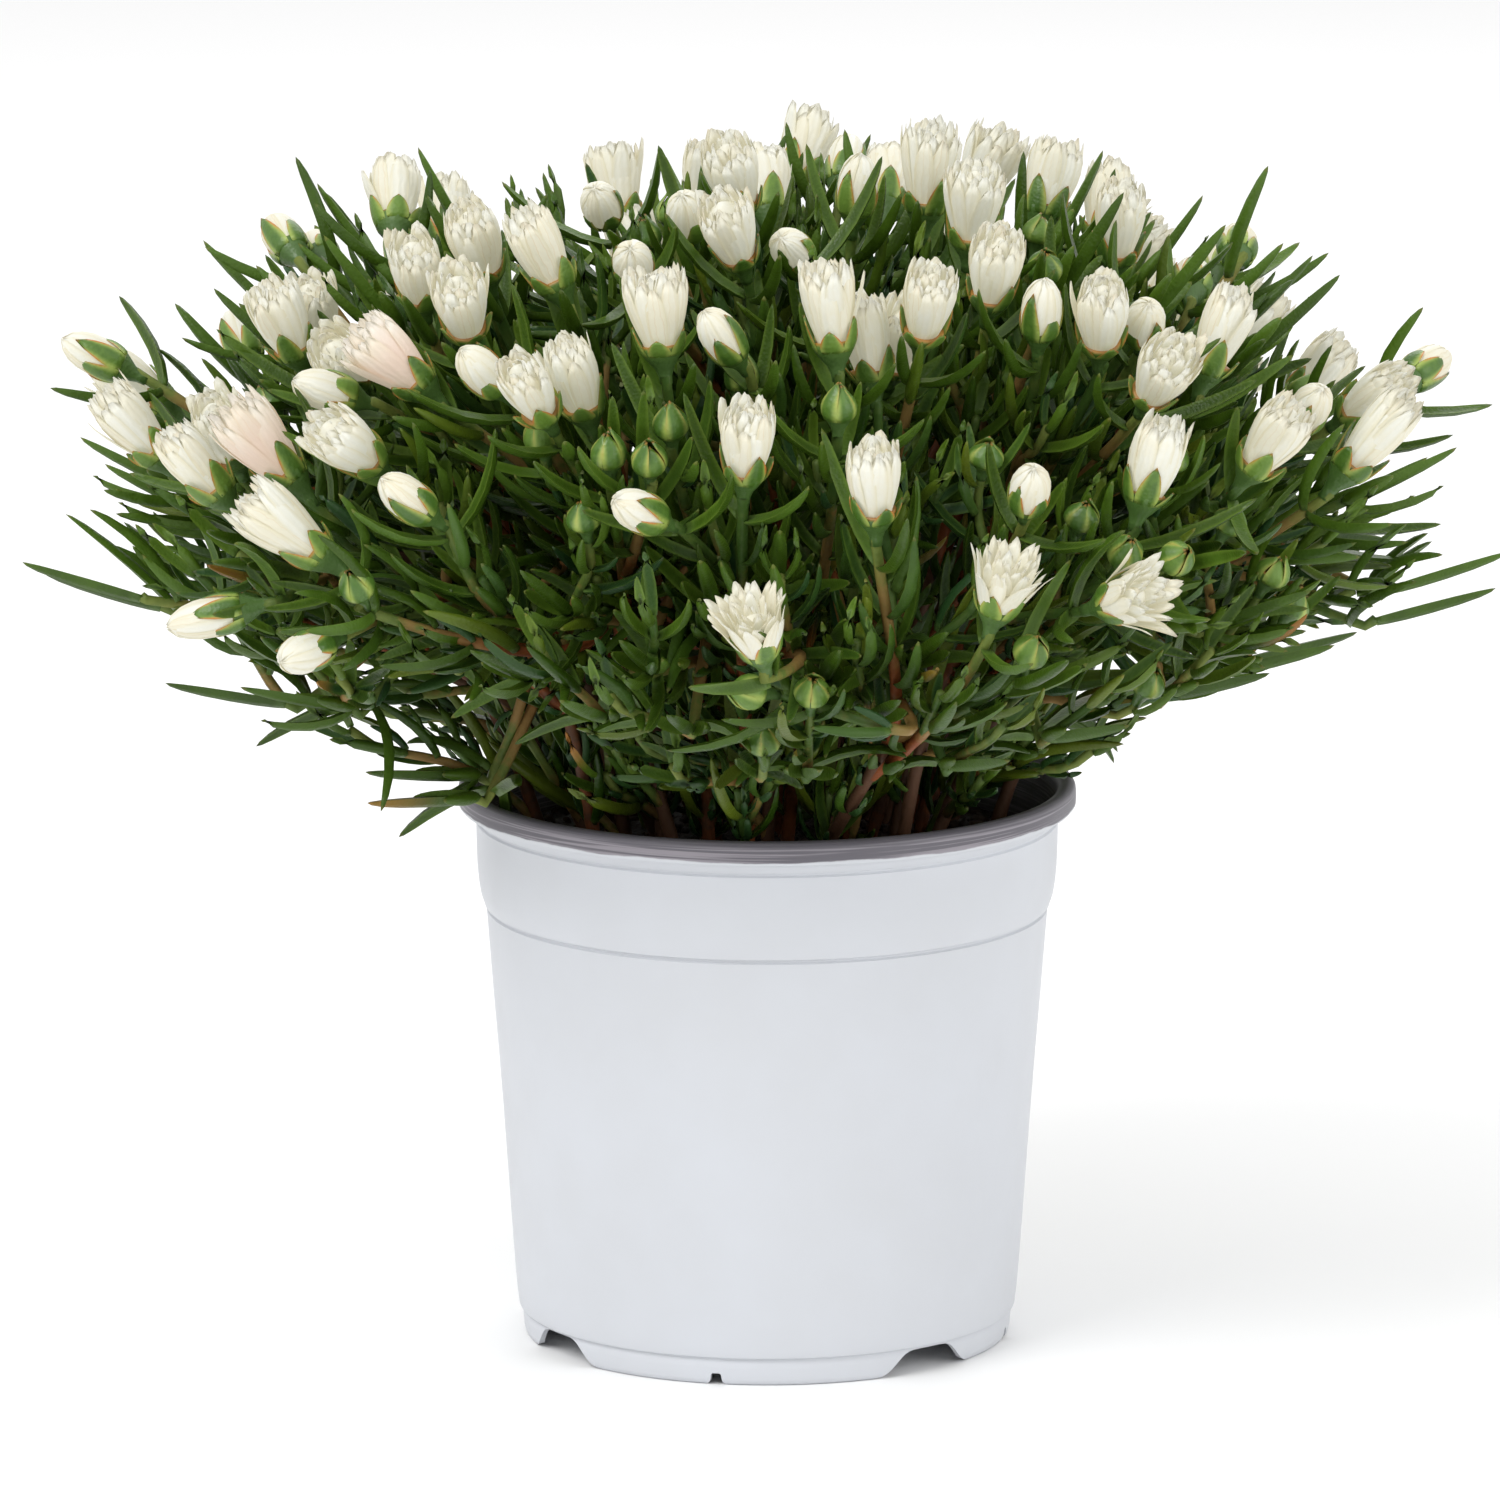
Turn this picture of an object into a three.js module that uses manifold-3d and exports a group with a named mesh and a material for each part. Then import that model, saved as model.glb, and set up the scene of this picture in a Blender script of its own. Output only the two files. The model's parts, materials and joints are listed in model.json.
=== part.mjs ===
// A potted trailing ice plant: leafy stems with closed white blooms, rooted in the soil of
// a thin plastic nursery pot. Millimetres, +Z up. The origin is the middle of the foot,
// on the surface that the pot stands on, and the front of the pot faces -Y.
import * as THREE from "three";
import { mergeVertices } from "three/addons/utils/BufferGeometryUtils.js";
import Module from "manifold-3d";

const wasm = await Module();
wasm.setup();

// Pot
const POT_HEIGHT = 118.5;
const POT_SIDES = 32;
const WALL = 0.9;
const RIM_RADIUS = 65;
const RIM_BAND_LOW = 113.3;
const COLLAR_TOP_RADIUS = 61.4;
const COLLAR_LOW_RADIUS = 60.2;
const COLLAR_LOW = 94.8;
const STEP_LOW = 92;
const STEP_RADIUS = 59.2;
const BASE_LOW = 6;
const BASE_RADIUS = 52.4;
const SKIRT_RADIUS = 51.6;
const FOOT_RADIUS = 49.8;
const FOOT_CHAMFER = 1.4;
const SKIRT_TAPER = 0.4;
const BASE_STEP_RISE = 0.8;
const RIM_UNDERCUT = 0.5;
const RIM_EDGE = 0.9;
const RIM_ROUND = 1.6;
const LIP_DROP = 0.6;
const FLOOR_THICKNESS = 1.2;
const GATE_ANGLES = [-58, 41, 131, 221];
const GATE_FOOT_WIDTH = 24;
const GATE_TOP_WIDTH = 9;
const GATE_HEIGHT = 5.4;
const NOTCH_ANGLES = [-12, 78, 168, 258];
const NOTCH_FOOT_WIDTH = 3.4;
const NOTCH_TOP_WIDTH = 1.8;
const NOTCH_HEIGHT = 2.2;
const CUT_LOW = -1;
const CUT_DEPTH = 22;
const DRAIN_HOLES = 6;
const DRAIN_RADIUS = 3.5;
const DRAIN_CIRCLE = 30;
const DRAIN_SIDES = 6;

// Soil
const FIT_GAP = 0.3;
const SOIL_EDGE = 105;
const SOIL_CROWN = 108.5;
const SOIL_RING = 26;
const HOLE_DEPTH = 12;

// Plant: the half-dome that the blooms' feet lie on, by its middle height and half sizes
const DOME_HEIGHT = 163;
const DOME_X = 131;
const DOME_Y = 120;
const DOME_UP = 78;
const DOME_DOWN = 47;

// Sprays: tips that share a root, and the circles that the roots stand on. A tip belongs to
// the inner, middle or outer circle by its foot's distance from the axis.
const TIPS_IN_A_SPRAY = 4;
const CIRCLE_EDGES = [62, 104];
const ROOT_CIRCLES = [13, 29, 44];
const ROOT_STAGGER = 4;

// Stems, as radii of their three-sided section's corners
const MAIN_RADIUS = 2.4;
const SHOOT_RADIUS = 1.7;
const NECK = 3;
const LONGEST_HOLD = 34;
const FORK_FROM = 0.15;
const FORK_TO = 0.75;
const JOINT_HALF = 1.4;
const BOW = 34;
const STEM_TRIES = 48;

// Leaves
const LEAF_LENGTHS = [20, 29];
const LEAF_RADIUS = 1.75;
const LEAF_FROM_FOOT = 6;
const LEAF_ROOT_OUT = 1;
const LEAF_KNEE = 0.45;
const LEAF_BEND = 0.4;
const LEAF_SPREAD = 0.95;
const LEAF_TURN = 0.45;
const LEAF_CLOSING = 0.03;
const LEAF_TRIES = 8;
const LEAF_REACH = 137;

// Space kept between sprays. It is measured between beads, spheres along each piece: the
// barrel of a bloom widens from its foot and closes at its tip, and a leaf tapers.
const CLEAR = 0.5;
const BEAD_SPACING = 1.6;
const BARREL_START = 0.3;
const BARREL_WIDENING = 2.4;
const BARREL_CLOSING = 2;
const LEAF_POINT = 0.1;
const LEAF_TAPER = 2.2;
const BEADS_IN_STEM = 3;

// A bloom that would touch another moves back in steps. Blooms nearer the axis than the
// depth given here aren't repeated at the rear.
const STEP_BACK = 2.5;
const STEPS_BACK = 14;
const REAR_FROM = 18;

const STEM_SIDES = 3;
const GOLDEN_ANGLE = Math.PI * (3 - Math.sqrt(5));
const GOLDEN_SHARE = (Math.sqrt(5) - 1) / 2;
const UP = new THREE.Vector3(0, 0, 1);
const ACROSS = new THREE.Vector3(1, 0, 0);
const NEARLY_UP = new THREE.Vector3(0.1, 0.2, 1);

// The view that the picture coordinates below are read in: an eye in front of the pot that
// looks a little down. A coordinate counts from the picture's upper left corner.
const EYE = new THREE.Vector3(-3.6, -2800, 693);
const LOOK_DOWN = THREE.MathUtils.degToRad(11.47);
const FOCAL_LENGTH = 13589;
const PICTURE_MIDDLE = 750;

// What grows at the end of a shoot: its length from the foot of the cup to the tip, its
// greatest radius and how much of that is left at the tip.
const KINDS = {
  flower: { length: 22, radius: 6.2, blunt: 0.92 },
  open: { length: 19, radius: 8, blunt: 1 },
  bud: { length: 17, radius: 5.3, blunt: 0.1 },
  green: { length: 11, radius: 3.6, blunt: 0.1 },
  leafy: { length: 26, radius: 1.7, blunt: 0.1 },
};

// Every bloom that the front shows: its kind, the place of its tip and that of its foot.
const FRONT_BLOOMS = [
  ["bud", [60, 338], [135, 375]],
  ["flower", [98, 385], [172, 470]],
  ["flower", [98, 358], [178, 418]],
  ["flower", [162, 425], [232, 508]],
  ["flower", [222, 398], [306, 495]],
  ["flower", [204, 392], [240, 470]],
  ["flower", [237, 492], [338, 568]],
  ["flower", [314, 418], [383, 470]],
  ["bud", [378, 476], [437, 521]],
  ["flower", [350, 322], [437, 400]],
  ["bud", [291, 380], [367, 403]],
  ["flower", [325, 338], [362, 385]],
  ["flower", [262, 275], [303, 368]],
  ["flower", [305, 272], [322, 350]],
  ["bud", [271, 220], [300, 262]],
  ["bud", [312, 240], [325, 265]],
  ["flower", [395, 168], [395, 240]],
  ["flower", [408, 229], [425, 312]],
  ["flower", [453, 264], [470, 345]],
  ["flower", [462, 198], [490, 288]],
  ["bud", [458, 347], [505, 395]],
  ["bud", [165, 628], [262, 605]],
  ["bud", [283, 662], [335, 640]],
  ["flower", [518, 203], [566, 304]],
  ["flower", [508, 355], [550, 425]],
  ["flower", [559, 330], [591, 428]],
  ["bud", [593, 186], [609, 224]],
  ["flower", [652, 263], [665, 371]],
  ["bud", [630, 247], [636, 279]],
  ["bud", [681, 191], [693, 240]],
  ["flower", [722, 130], [744, 221]],
  ["flower", [764, 156], [770, 228]],
  ["flower", [716, 189], [744, 272]],
  ["bud", [701, 307], [741, 365]],
  ["bud", [779, 237], [805, 263]],
  ["flower", [824, 256], [837, 368]],
  ["flower", [859, 288], [875, 396]],
  ["bud", [862, 149], [853, 227]],
  ["flower", [888, 157], [885, 220]],
  ["flower", [751, 393], [744, 492]],
  ["flower", [872, 432], [876, 533]],
  ["bud", [612, 499], [668, 524]],
  ["open", [744, 589], [764, 665]],
  ["flower", [933, 116], [923, 230]],
  ["flower", [977, 157], [968, 259]],
  ["flower", [1003, 223], [987, 316]],
  ["flower", [936, 259], [920, 351]],
  ["flower", [914, 297], [890, 380]],
  ["bud", [1045, 273], [1038, 349]],
  ["flower", [1105, 271], [1099, 361]],
  ["flower", [1124, 175], [1115, 275]],
  ["bud", [1240, 232], [1235, 262]],
  ["bud", [1229, 249], [1217, 287]],
  ["flower", [1239, 281], [1200, 389]],
  ["flower", [1182, 341], [1143, 408]],
  ["flower", [1169, 412], [1137, 518]],
  ["flower", [1303, 399], [1242, 482]],
  ["bud", [1035, 464], [1025, 514]],
  ["open", [1017, 541], [991, 627]],
  ["open", [1167, 588], [1093, 608]],
  ["bud", [1446, 353], [1400, 385]],
  ["flower", [1415, 391], [1332, 487]],
  ["flower", [1411, 374], [1338, 423]],
  ["bud", [1325, 385], [1295, 430]],
  ["bud", [1150, 300], [1140, 345]],
  ["bud", [1193, 265], [1190, 300]],
  ["green", [742, 342], [742, 405]],
  ["green", [840, 378], [838, 430]],
  ["green", [668, 397], [672, 443]],
  ["green", [648, 435], [650, 478]],
  ["green", [535, 410], [545, 455]],
  ["green", [606, 425], [610, 475]],
  ["green", [1046, 245], [1044, 285]],
  ["green", [345, 565], [365, 600]],
  ["green", [725, 690], [768, 694]],
  ["green", [1040, 632], [1025, 665]],
  ["green", [1192, 548], [1165, 566]],
  ["green", [1135, 535], [1118, 566]],
];

// Shoots that end in leaves, each given by the tip of its leading leaf: first those that
// stand out of the outline, then those that cover the lower front.
const FRONT_LEAFY = [
  [22, 562], [1496, 588], [418, 147], [317, 183], [203, 240], [80, 437], [165, 683],
  [240, 687], [365, 772], [367, 803], [1103, 150], [1203, 195], [1313, 255],
  [1428, 457], [1335, 645], [1312, 590], [1270, 673], [543, 172],
  [560, 700], [470, 650], [620, 640], [668, 715], [840, 650], [900, 700], [948, 632],
  [1010, 760], [1130, 725], [780, 530], [700, 560], [520, 570], [410, 590], [1210, 480],
  [820, 770],
];

// Helpers

// An even random number from 0 to 1 at each call, the same row of them for the same seed.
function seeded(seed) {
  let state = seed;
  return () => {
    state = (state * 1664525 + 1013904223) % 4294967296;
    return state / 4294967296;
  };
}

// A point a share of the way along a cubic curve with four control points.
function cubic(curve, share) {
  const rest = 1 - share;
  const weights = [rest ** 3, 3 * rest ** 2 * share, 3 * rest * share ** 2, share ** 3];
  const point = new THREE.Vector3();
  curve.forEach((control, i) => point.addScaledVector(control, weights[i]));
  return point;
}

// Two unit vectors square to a direction and to each other, the first as near as it gets
// to a guide.
function squareTo(direction, guide) {
  const first = guide.clone().addScaledVector(direction, -guide.dot(direction));
  first.normalize();
  return [first, new THREE.Vector3().crossVectors(direction, first)];
}

// Points round a centre, square to a direction. Radius and height are functions of the
// point's number.
function ring(centre, direction, guide, count, radius, height = () => 0) {
  const [first, second] = squareTo(direction, guide);
  return Array.from({ length: count }, (_, i) => {
    const angle = (2 * Math.PI * i) / count;
    return centre
      .clone()
      .addScaledVector(first, radius(i) * Math.cos(angle))
      .addScaledVector(second, radius(i) * Math.sin(angle))
      .addScaledVector(direction, height(i));
  });
}

// A closed surface that grows ring by ring. Shoots and leaves are drawn out of its faces, so
// that a whole spray is one body.
class Growth {
  corners = [];
  faces = [];

  // Adds the points of a ring and returns their numbers.
  add(points) {
    const first = this.corners.length;
    this.corners.push(...points);
    return points.map((_, i) => first + i);
  }

  // Joins two rings, which may differ in how many points they have, and returns the numbers
  // of the faces between them. A ring of one point is a tip.
  bridge(lower, upper) {
    const lowerSteps = lower.length > 1 ? lower.length : 0;
    const upperSteps = upper.length > 1 ? upper.length : 0;
    const from = this.faces.length;
    let i = 0;
    let j = 0;
    while (i < lowerSteps || j < upperSteps) {
      const next = [lower[(i + 1) % lower.length], upper[(j + 1) % upper.length]];
      const lowerIsBehind = (i + 0.5) * upperSteps <= (j + 0.5) * lowerSteps;
      if (j >= upperSteps || (i < lowerSteps && lowerIsBehind)) {
        this.faces.push([lower[i % lower.length], next[0], upper[j % upper.length]]);
        i += 1;
      } else {
        this.faces.push([lower[i % lower.length], next[1], upper[j % upper.length]]);
        j += 1;
      }
    }
    return this.faces.slice(from).map((_, k) => from + k);
  }

  // Closes the ring that the surface starts with, or turned over, the one it ends with.
  close(ends, over = false) {
    for (let i = 1; i < ends.length - 1; i += 1)
      this.faces.push(over ? [ends[0], ends[i], ends[i + 1]] : [ends[0], ends[i + 1], ends[i]]);
  }

  // Takes away the face that looks most along a direction, out of some, and returns its
  // corners, which what grows there starts from.
  open(choices, direction) {
    const facing = (face) => {
      const [a, b, c] = this.faces[face].map((corner) => this.corners[corner]);
      return new THREE.Triangle(a, b, c).getNormal(new THREE.Vector3()).dot(direction);
    };
    const free = choices.filter((face) => this.faces[face]);
    const best = free.reduce((a, b) => (facing(b) > facing(a) + 1e-9 ? b : a));
    const corners = this.faces[best];
    this.faces[best] = null;
    return corners;
  }

  // The way from a ring's middle to its first corner, which keeps the next ring untwisted.
  guideOf(numbers) {
    const middle = new THREE.Vector3();
    numbers.forEach((number) => middle.addScaledVector(this.corners[number], 1 / numbers.length));
    return this.corners[numbers[0]].clone().sub(middle);
  }

  // Draws a three-sided stem or leaf on to a new ring round a point.
  draw(from, point, direction, radius) {
    return this.add(ring(point, direction, this.guideOf(from), STEM_SIDES, () => radius));
  }

  geometry() {
    const made = new THREE.BufferGeometry().setFromPoints(this.corners);
    made.setIndex(this.faces.filter((face) => face).flat());
    return made;
  }
}

// A closed prism or cone through a row of rings.
function loft(rings) {
  const growth = new Growth();
  const numbers = rings.map((points) => growth.add(points));
  growth.close(numbers[0]);
  numbers.slice(1).forEach((upper, i) => growth.bridge(numbers[i], upper));
  growth.close(numbers.at(-1), true);
  return growth.geometry();
}

// A geometry as a solid that can be joined and cut.
function solid(geometry) {
  geometry.deleteAttribute("normal");
  geometry.deleteAttribute("uv");
  const merged = mergeVertices(geometry, 1e-4);
  const vertProperties = merged.attributes.position.array;
  const triVerts = new Uint32Array(merged.index.array);
  return new wasm.Manifold(new wasm.Mesh({ numProp: 3, vertProperties, triVerts }));
}

// A solid as a named mesh.
function mesh(name, made, material) {
  const { vertProperties, triVerts } = made.getMesh();
  const geometry = new THREE.BufferGeometry();
  geometry.setAttribute("position", new THREE.BufferAttribute(vertProperties, 3));
  geometry.setIndex(new THREE.BufferAttribute(triVerts, 1));
  geometry.computeVertexNormals();
  const named = new THREE.Mesh(geometry, material);
  named.name = name;
  return named;
}

// A body of revolution about the Z axis from a closed outline of [radius, height] points.
function turned(outline) {
  const points = outline.map(([radius, height]) => new THREE.Vector2(radius, height));
  return solid(new THREE.LatheGeometry(points, POT_SIDES).rotateX(Math.PI / 2));
}

// A prism across the foot's wall, from inside it to outside, at an angle from the front.
function wedge(angle, footWidth, topWidth, height) {
  const shape = new THREE.Shape([
    new THREE.Vector2(-footWidth / 2, CUT_LOW),
    new THREE.Vector2(footWidth / 2, CUT_LOW),
    new THREE.Vector2(topWidth / 2, height),
    new THREE.Vector2(-topWidth / 2, height),
  ]);
  return solid(
    new THREE.ExtrudeGeometry(shape, { depth: CUT_DEPTH, bevelEnabled: false })
      .rotateX(Math.PI / 2)
      .translate(0, -FOOT_RADIUS + CUT_DEPTH / 2, 0)
      .rotateZ(THREE.MathUtils.degToRad(angle)),
  );
}

// Pot

// The radius of the wall's inner face at a height.
function innerRadius(height) {
  const share = (height - BASE_LOW) / (STEP_LOW - BASE_LOW);
  if (share <= 1) return BASE_RADIUS - WALL + share * (STEP_RADIUS - BASE_RADIUS);
  const collar = (height - COLLAR_LOW) / (RIM_BAND_LOW - COLLAR_LOW);
  if (collar >= 0) return COLLAR_LOW_RADIUS - WALL + collar * (COLLAR_TOP_RADIUS - COLLAR_LOW_RADIUS);
  const step = (height - STEP_LOW) / (COLLAR_LOW - STEP_LOW);
  return STEP_RADIUS - WALL + step * (COLLAR_LOW_RADIUS - STEP_RADIUS);
}

function pot() {
  const floorTop = BASE_LOW + FLOOR_THICKNESS;
  const outline = [
    [0, BASE_LOW],
    [SKIRT_RADIUS - WALL, BASE_LOW],
    [FOOT_RADIUS - WALL, 0],
    [FOOT_RADIUS, 0],
    [SKIRT_RADIUS - SKIRT_TAPER, FOOT_CHAMFER],
    [SKIRT_RADIUS, BASE_LOW],
    [BASE_RADIUS, BASE_LOW + BASE_STEP_RISE],
    [STEP_RADIUS, STEP_LOW],
    [COLLAR_LOW_RADIUS, COLLAR_LOW],
    [COLLAR_TOP_RADIUS, RIM_BAND_LOW],
    [RIM_RADIUS - RIM_UNDERCUT, RIM_BAND_LOW],
    [RIM_RADIUS, RIM_BAND_LOW + RIM_EDGE],
    [RIM_RADIUS, POT_HEIGHT - RIM_ROUND],
    [RIM_RADIUS - RIM_ROUND, POT_HEIGHT],
    [COLLAR_TOP_RADIUS, POT_HEIGHT - LIP_DROP],
    [innerRadius(RIM_BAND_LOW), RIM_BAND_LOW],
    [innerRadius(COLLAR_LOW), COLLAR_LOW],
    [innerRadius(STEP_LOW), STEP_LOW],
    [innerRadius(floorTop), floorTop],
    [0, floorTop],
  ];
  let made = turned(outline);
  GATE_ANGLES.forEach((angle) => {
    made = made.subtract(wedge(angle, GATE_FOOT_WIDTH, GATE_TOP_WIDTH, GATE_HEIGHT));
  });
  NOTCH_ANGLES.forEach((angle) => {
    made = made.subtract(wedge(angle, NOTCH_FOOT_WIDTH, NOTCH_TOP_WIDTH, NOTCH_HEIGHT));
  });
  for (let i = 0; i < DRAIN_HOLES; i += 1) {
    const hole = new THREE.CylinderGeometry(DRAIN_RADIUS, DRAIN_RADIUS, 2 * floorTop, DRAIN_SIDES);
    const angle = (2 * Math.PI * i) / DRAIN_HOLES;
    hole.rotateX(Math.PI / 2);
    hole.translate(DRAIN_CIRCLE * Math.cos(angle), DRAIN_CIRCLE * Math.sin(angle), BASE_LOW);
    made = made.subtract(solid(hole));
  }
  return made;
}

// Soil

// The height of the soil's surface at a distance from the axis.
function soilTop(radius) {
  return SOIL_CROWN - (SOIL_CROWN - SOIL_EDGE) * (radius / innerRadius(SOIL_EDGE)) ** 2;
}

// The soil fills the pot and has a plain three-sided hole for each root.
function soil(roots) {
  const low = BASE_LOW + FLOOR_THICKNESS + FIT_GAP;
  const fill = (height) => [innerRadius(height) - FIT_GAP, height];
  const outline = [
    [0, low],
    fill(low),
    fill(STEP_LOW),
    fill(COLLAR_LOW),
    fill(SOIL_EDGE),
    [SOIL_RING, soilTop(SOIL_RING)],
    [0, SOIL_CROWN],
  ];
  const holes = roots.map((root) => {
    const ends = [-HOLE_DEPTH, NECK].map((height) => root.clone().setZ(root.z + height));
    // The corners of a three-sided hole stand back twice as far as its sides.
    const radius = () => MAIN_RADIUS + 2 * FIT_GAP;
    return solid(loft(ends.map((end) => ring(end, UP, ACROSS, STEM_SIDES, radius))));
  });
  return turned(outline).subtract(wasm.Manifold.union(holes));
}

// Layout of the plant

// The direction from the eye through a place in the picture.
function sightLine([u, v]) {
  const right = (u - PICTURE_MIDDLE) / FOCAL_LENGTH;
  const up = (PICTURE_MIDDLE - v) / FOCAL_LENGTH;
  return new THREE.Vector3(
    right,
    Math.cos(LOOK_DOWN) + up * Math.sin(LOOK_DOWN),
    -Math.sin(LOOK_DOWN) + up * Math.cos(LOOK_DOWN),
  );
}

// The point seen at a place in the picture, at a depth in front of or behind the axis.
function seenAt(place, depth) {
  const line = sightLine(place);
  return EYE.clone().addScaledVector(line, (depth - EYE.y) / line.y);
}

// How far out a point lies: 1 on the dome of the blooms' feet, less inside it.
function domeShare(point) {
  const tall = point.z > DOME_HEIGHT ? DOME_UP : DOME_DOWN;
  return Math.hypot(point.x / DOME_X, point.y / DOME_Y, (point.z - DOME_HEIGHT) / tall);
}

// The depth at which a sight line first meets the dome, or passes closest to it.
function domeDepth(place) {
  let best = 0;
  let least = Infinity;
  for (let depth = -DOME_Y; depth <= DOME_Y; depth += 1) {
    const share = domeShare(seenAt(place, depth));
    if (share <= 1) return depth;
    if (share < least) {
      least = share;
      best = depth;
    }
  }
  return best;
}

// A bloom in space: its foot, the direction it points in and its length.
function placeBloom([kind, tipPlace, footPlace], depth) {
  const foot = seenAt(footPlace, depth);
  const across = seenAt(tipPlace, depth).sub(foot);
  const length = Math.max(KINDS[kind].length, across.length());
  const outward = Math.sqrt(Math.max(0, length ** 2 - across.lengthSq()));
  const direction = across.addScaledVector(sightLine(footPlace).normalize(), depth > 0 ? outward : -outward);
  return { kind, foot, direction: direction.normalize(), length };
}

// A leafy tip in space: its leading leaf points away from the middle of the plant.
function placeLeafy(place) {
  const tip = seenAt(place, domeDepth(place));
  const length = KINDS.leafy.length;
  const direction = tip.clone().sub(new THREE.Vector3(0, 0, POT_HEIGHT)).normalize();
  return { kind: "leafy", foot: tip.clone().addScaledVector(direction, -length), direction, length };
}

// A tip turned half way round the pot.
function turnedRound(tip) {
  const about = (v) => new THREE.Vector3(-v.x, -v.y, v.z);
  return { ...tip, foot: about(tip.foot), direction: about(tip.direction) };
}

// Beads stand for a round piece wherever clearance is measured: spheres along its line.
function beads(points, radius) {
  const row = [];
  points.slice(1).forEach((end, i) => {
    const start = points[i];
    const count = Math.max(1, Math.round(start.distanceTo(end) / BEAD_SPACING));
    for (let k = 0; k <= count; k += 1) {
      const share = (i + k / count) / (points.length - 1);
      row.push({ centre: start.clone().lerp(end, k / count), radius: radius(share) });
    }
  });
  return row;
}

// The space between two sets of beads, never more than a limit.
function gapBetween(row, others, limit) {
  let least = limit;
  for (const other of others)
    for (const bead of row) {
      const reach = least + bead.radius + other.radius;
      const dx = bead.centre.x - other.centre.x;
      const dy = bead.centre.y - other.centre.y;
      const dz = bead.centre.z - other.centre.z;
      const apart = dx * dx + dy * dy + dz * dz;
      if (reach > 0 && apart < reach * reach) least = Math.sqrt(apart) - bead.radius - other.radius;
    }
  return least;
}

// The beads of a tip and of the stem just below it: a barrel for a bloom, a thin spindle for
// a leading leaf.
function tipBeads({ kind, foot, direction, length }) {
  const end = foot.clone().addScaledVector(direction, length);
  const below = foot.clone().addScaledVector(direction, -LEAF_FROM_FOOT - JOINT_HALF);
  const { radius, blunt } = KINDS[kind];
  const barrel = (share) => {
    const start = BARREL_START + BARREL_WIDENING * share;
    const close = blunt + BARREL_CLOSING * (1 - share);
    return Math.max(1, radius * Math.min(1, start, close));
  };
  return [...beads([below, foot], () => SHOOT_RADIUS), ...beads([foot, end], barrel)];
}

// The space between some beads and the pot's rim or the soil, never more than a limit.
function gapToPot(row, limit) {
  const lipMiddle = (RIM_RADIUS + COLLAR_TOP_RADIUS) / 2;
  const lipHalf = RIM_RADIUS - lipMiddle;
  const lipHeight = POT_HEIGHT - lipHalf;
  return row.reduce((least, { centre, radius }) => {
    const out = Math.hypot(centre.x, centre.y);
    const rim = Math.hypot(out - lipMiddle, Math.max(0, centre.z - lipHeight)) - lipHalf - radius;
    const below = out < lipMiddle ? centre.z - soilTop(out) - radius : Infinity;
    return Math.min(least, rim, below);
  }, limit);
}

// All tips, kept clear of each other: a bloom in the way of an earlier one moves back. The
// rear repeats the front turned half way round, with a third fewer blooms.
function allTips() {
  const tips = [];
  const taken = [];
  const keep = (tip) => {
    const row = tipBeads(tip);
    const free = Math.min(gapBetween(row, taken, CLEAR), gapToPot(row, CLEAR)) >= CLEAR;
    if (free) {
      tips.push(tip);
      taken.push(...row);
    }
    return free;
  };
  FRONT_BLOOMS.forEach((bloom) => {
    const depth = domeDepth(bloom[2]);
    const steps = Array.from({ length: STEPS_BACK }, (_, k) => depth + k * STEP_BACK);
    steps.some((step) => keep(placeBloom(bloom, step)));
  });
  const wellInFront = tips.filter((tip) => tip.foot.y < -REAR_FROM);
  const leafy = FRONT_LEAFY.map(placeLeafy).filter(keep);
  wellInFront.filter((_, i) => i % 3 !== 2).map(turnedRound).forEach(keep);
  leafy.map(turnedRound).forEach(keep);
  return tips;
}

// Which way round the pot a point lies.
function bearing(point) {
  return Math.atan2(point.x, -point.y);
}

// Sprays: neighbours on one of the three circles share a stem and a root. The furthest tip
// of a spray comes first.
function groupTips(tips) {
  const circles = ROOT_CIRCLES.map(() => []);
  tips.forEach((tip) => {
    const out = Math.hypot(tip.foot.x, tip.foot.y);
    circles[CIRCLE_EDGES.filter((edge) => out > edge).length].push(tip);
  });
  return circles.flatMap((members, circle) => {
    members.sort((a, b) => bearing(a.foot) - bearing(b.foot));
    const count = Math.ceil(members.length / TIPS_IN_A_SPRAY);
    return Array.from({ length: count }, (_, k) => {
      const cut = (n) => Math.round((n * members.length) / count);
      const own = members.slice(cut(k), cut(k + 1));
      const middle = new THREE.Vector3();
      own.forEach((tip) => middle.add(tip.foot));
      const around = bearing(middle);
      const out = ROOT_CIRCLES[circle] + (k % 2 ? ROOT_STAGGER : -ROOT_STAGGER);
      const root = new THREE.Vector3(out * Math.sin(around), -out * Math.cos(around), soilTop(out));
      own.sort((a, b) => b.foot.distanceTo(root) - a.foot.distanceTo(root));
      return { root, tips: own, outer: circle === ROOT_CIRCLES.length - 1 };
    });
  });
}

// A cubic curve from a start to a tip's foot. It leaves along one direction, arrives along
// the tip's, and may bow to one side.
function stemCurve(start, leave, tip, bow) {
  const hold = Math.min(0.45 * start.distanceTo(tip.foot), LONGEST_HOLD);
  return [
    start,
    start.clone().addScaledVector(leave, hold).add(bow),
    tip.foot.clone().addScaledVector(tip.direction, -hold).add(bow),
    tip.foot,
  ];
}

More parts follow.
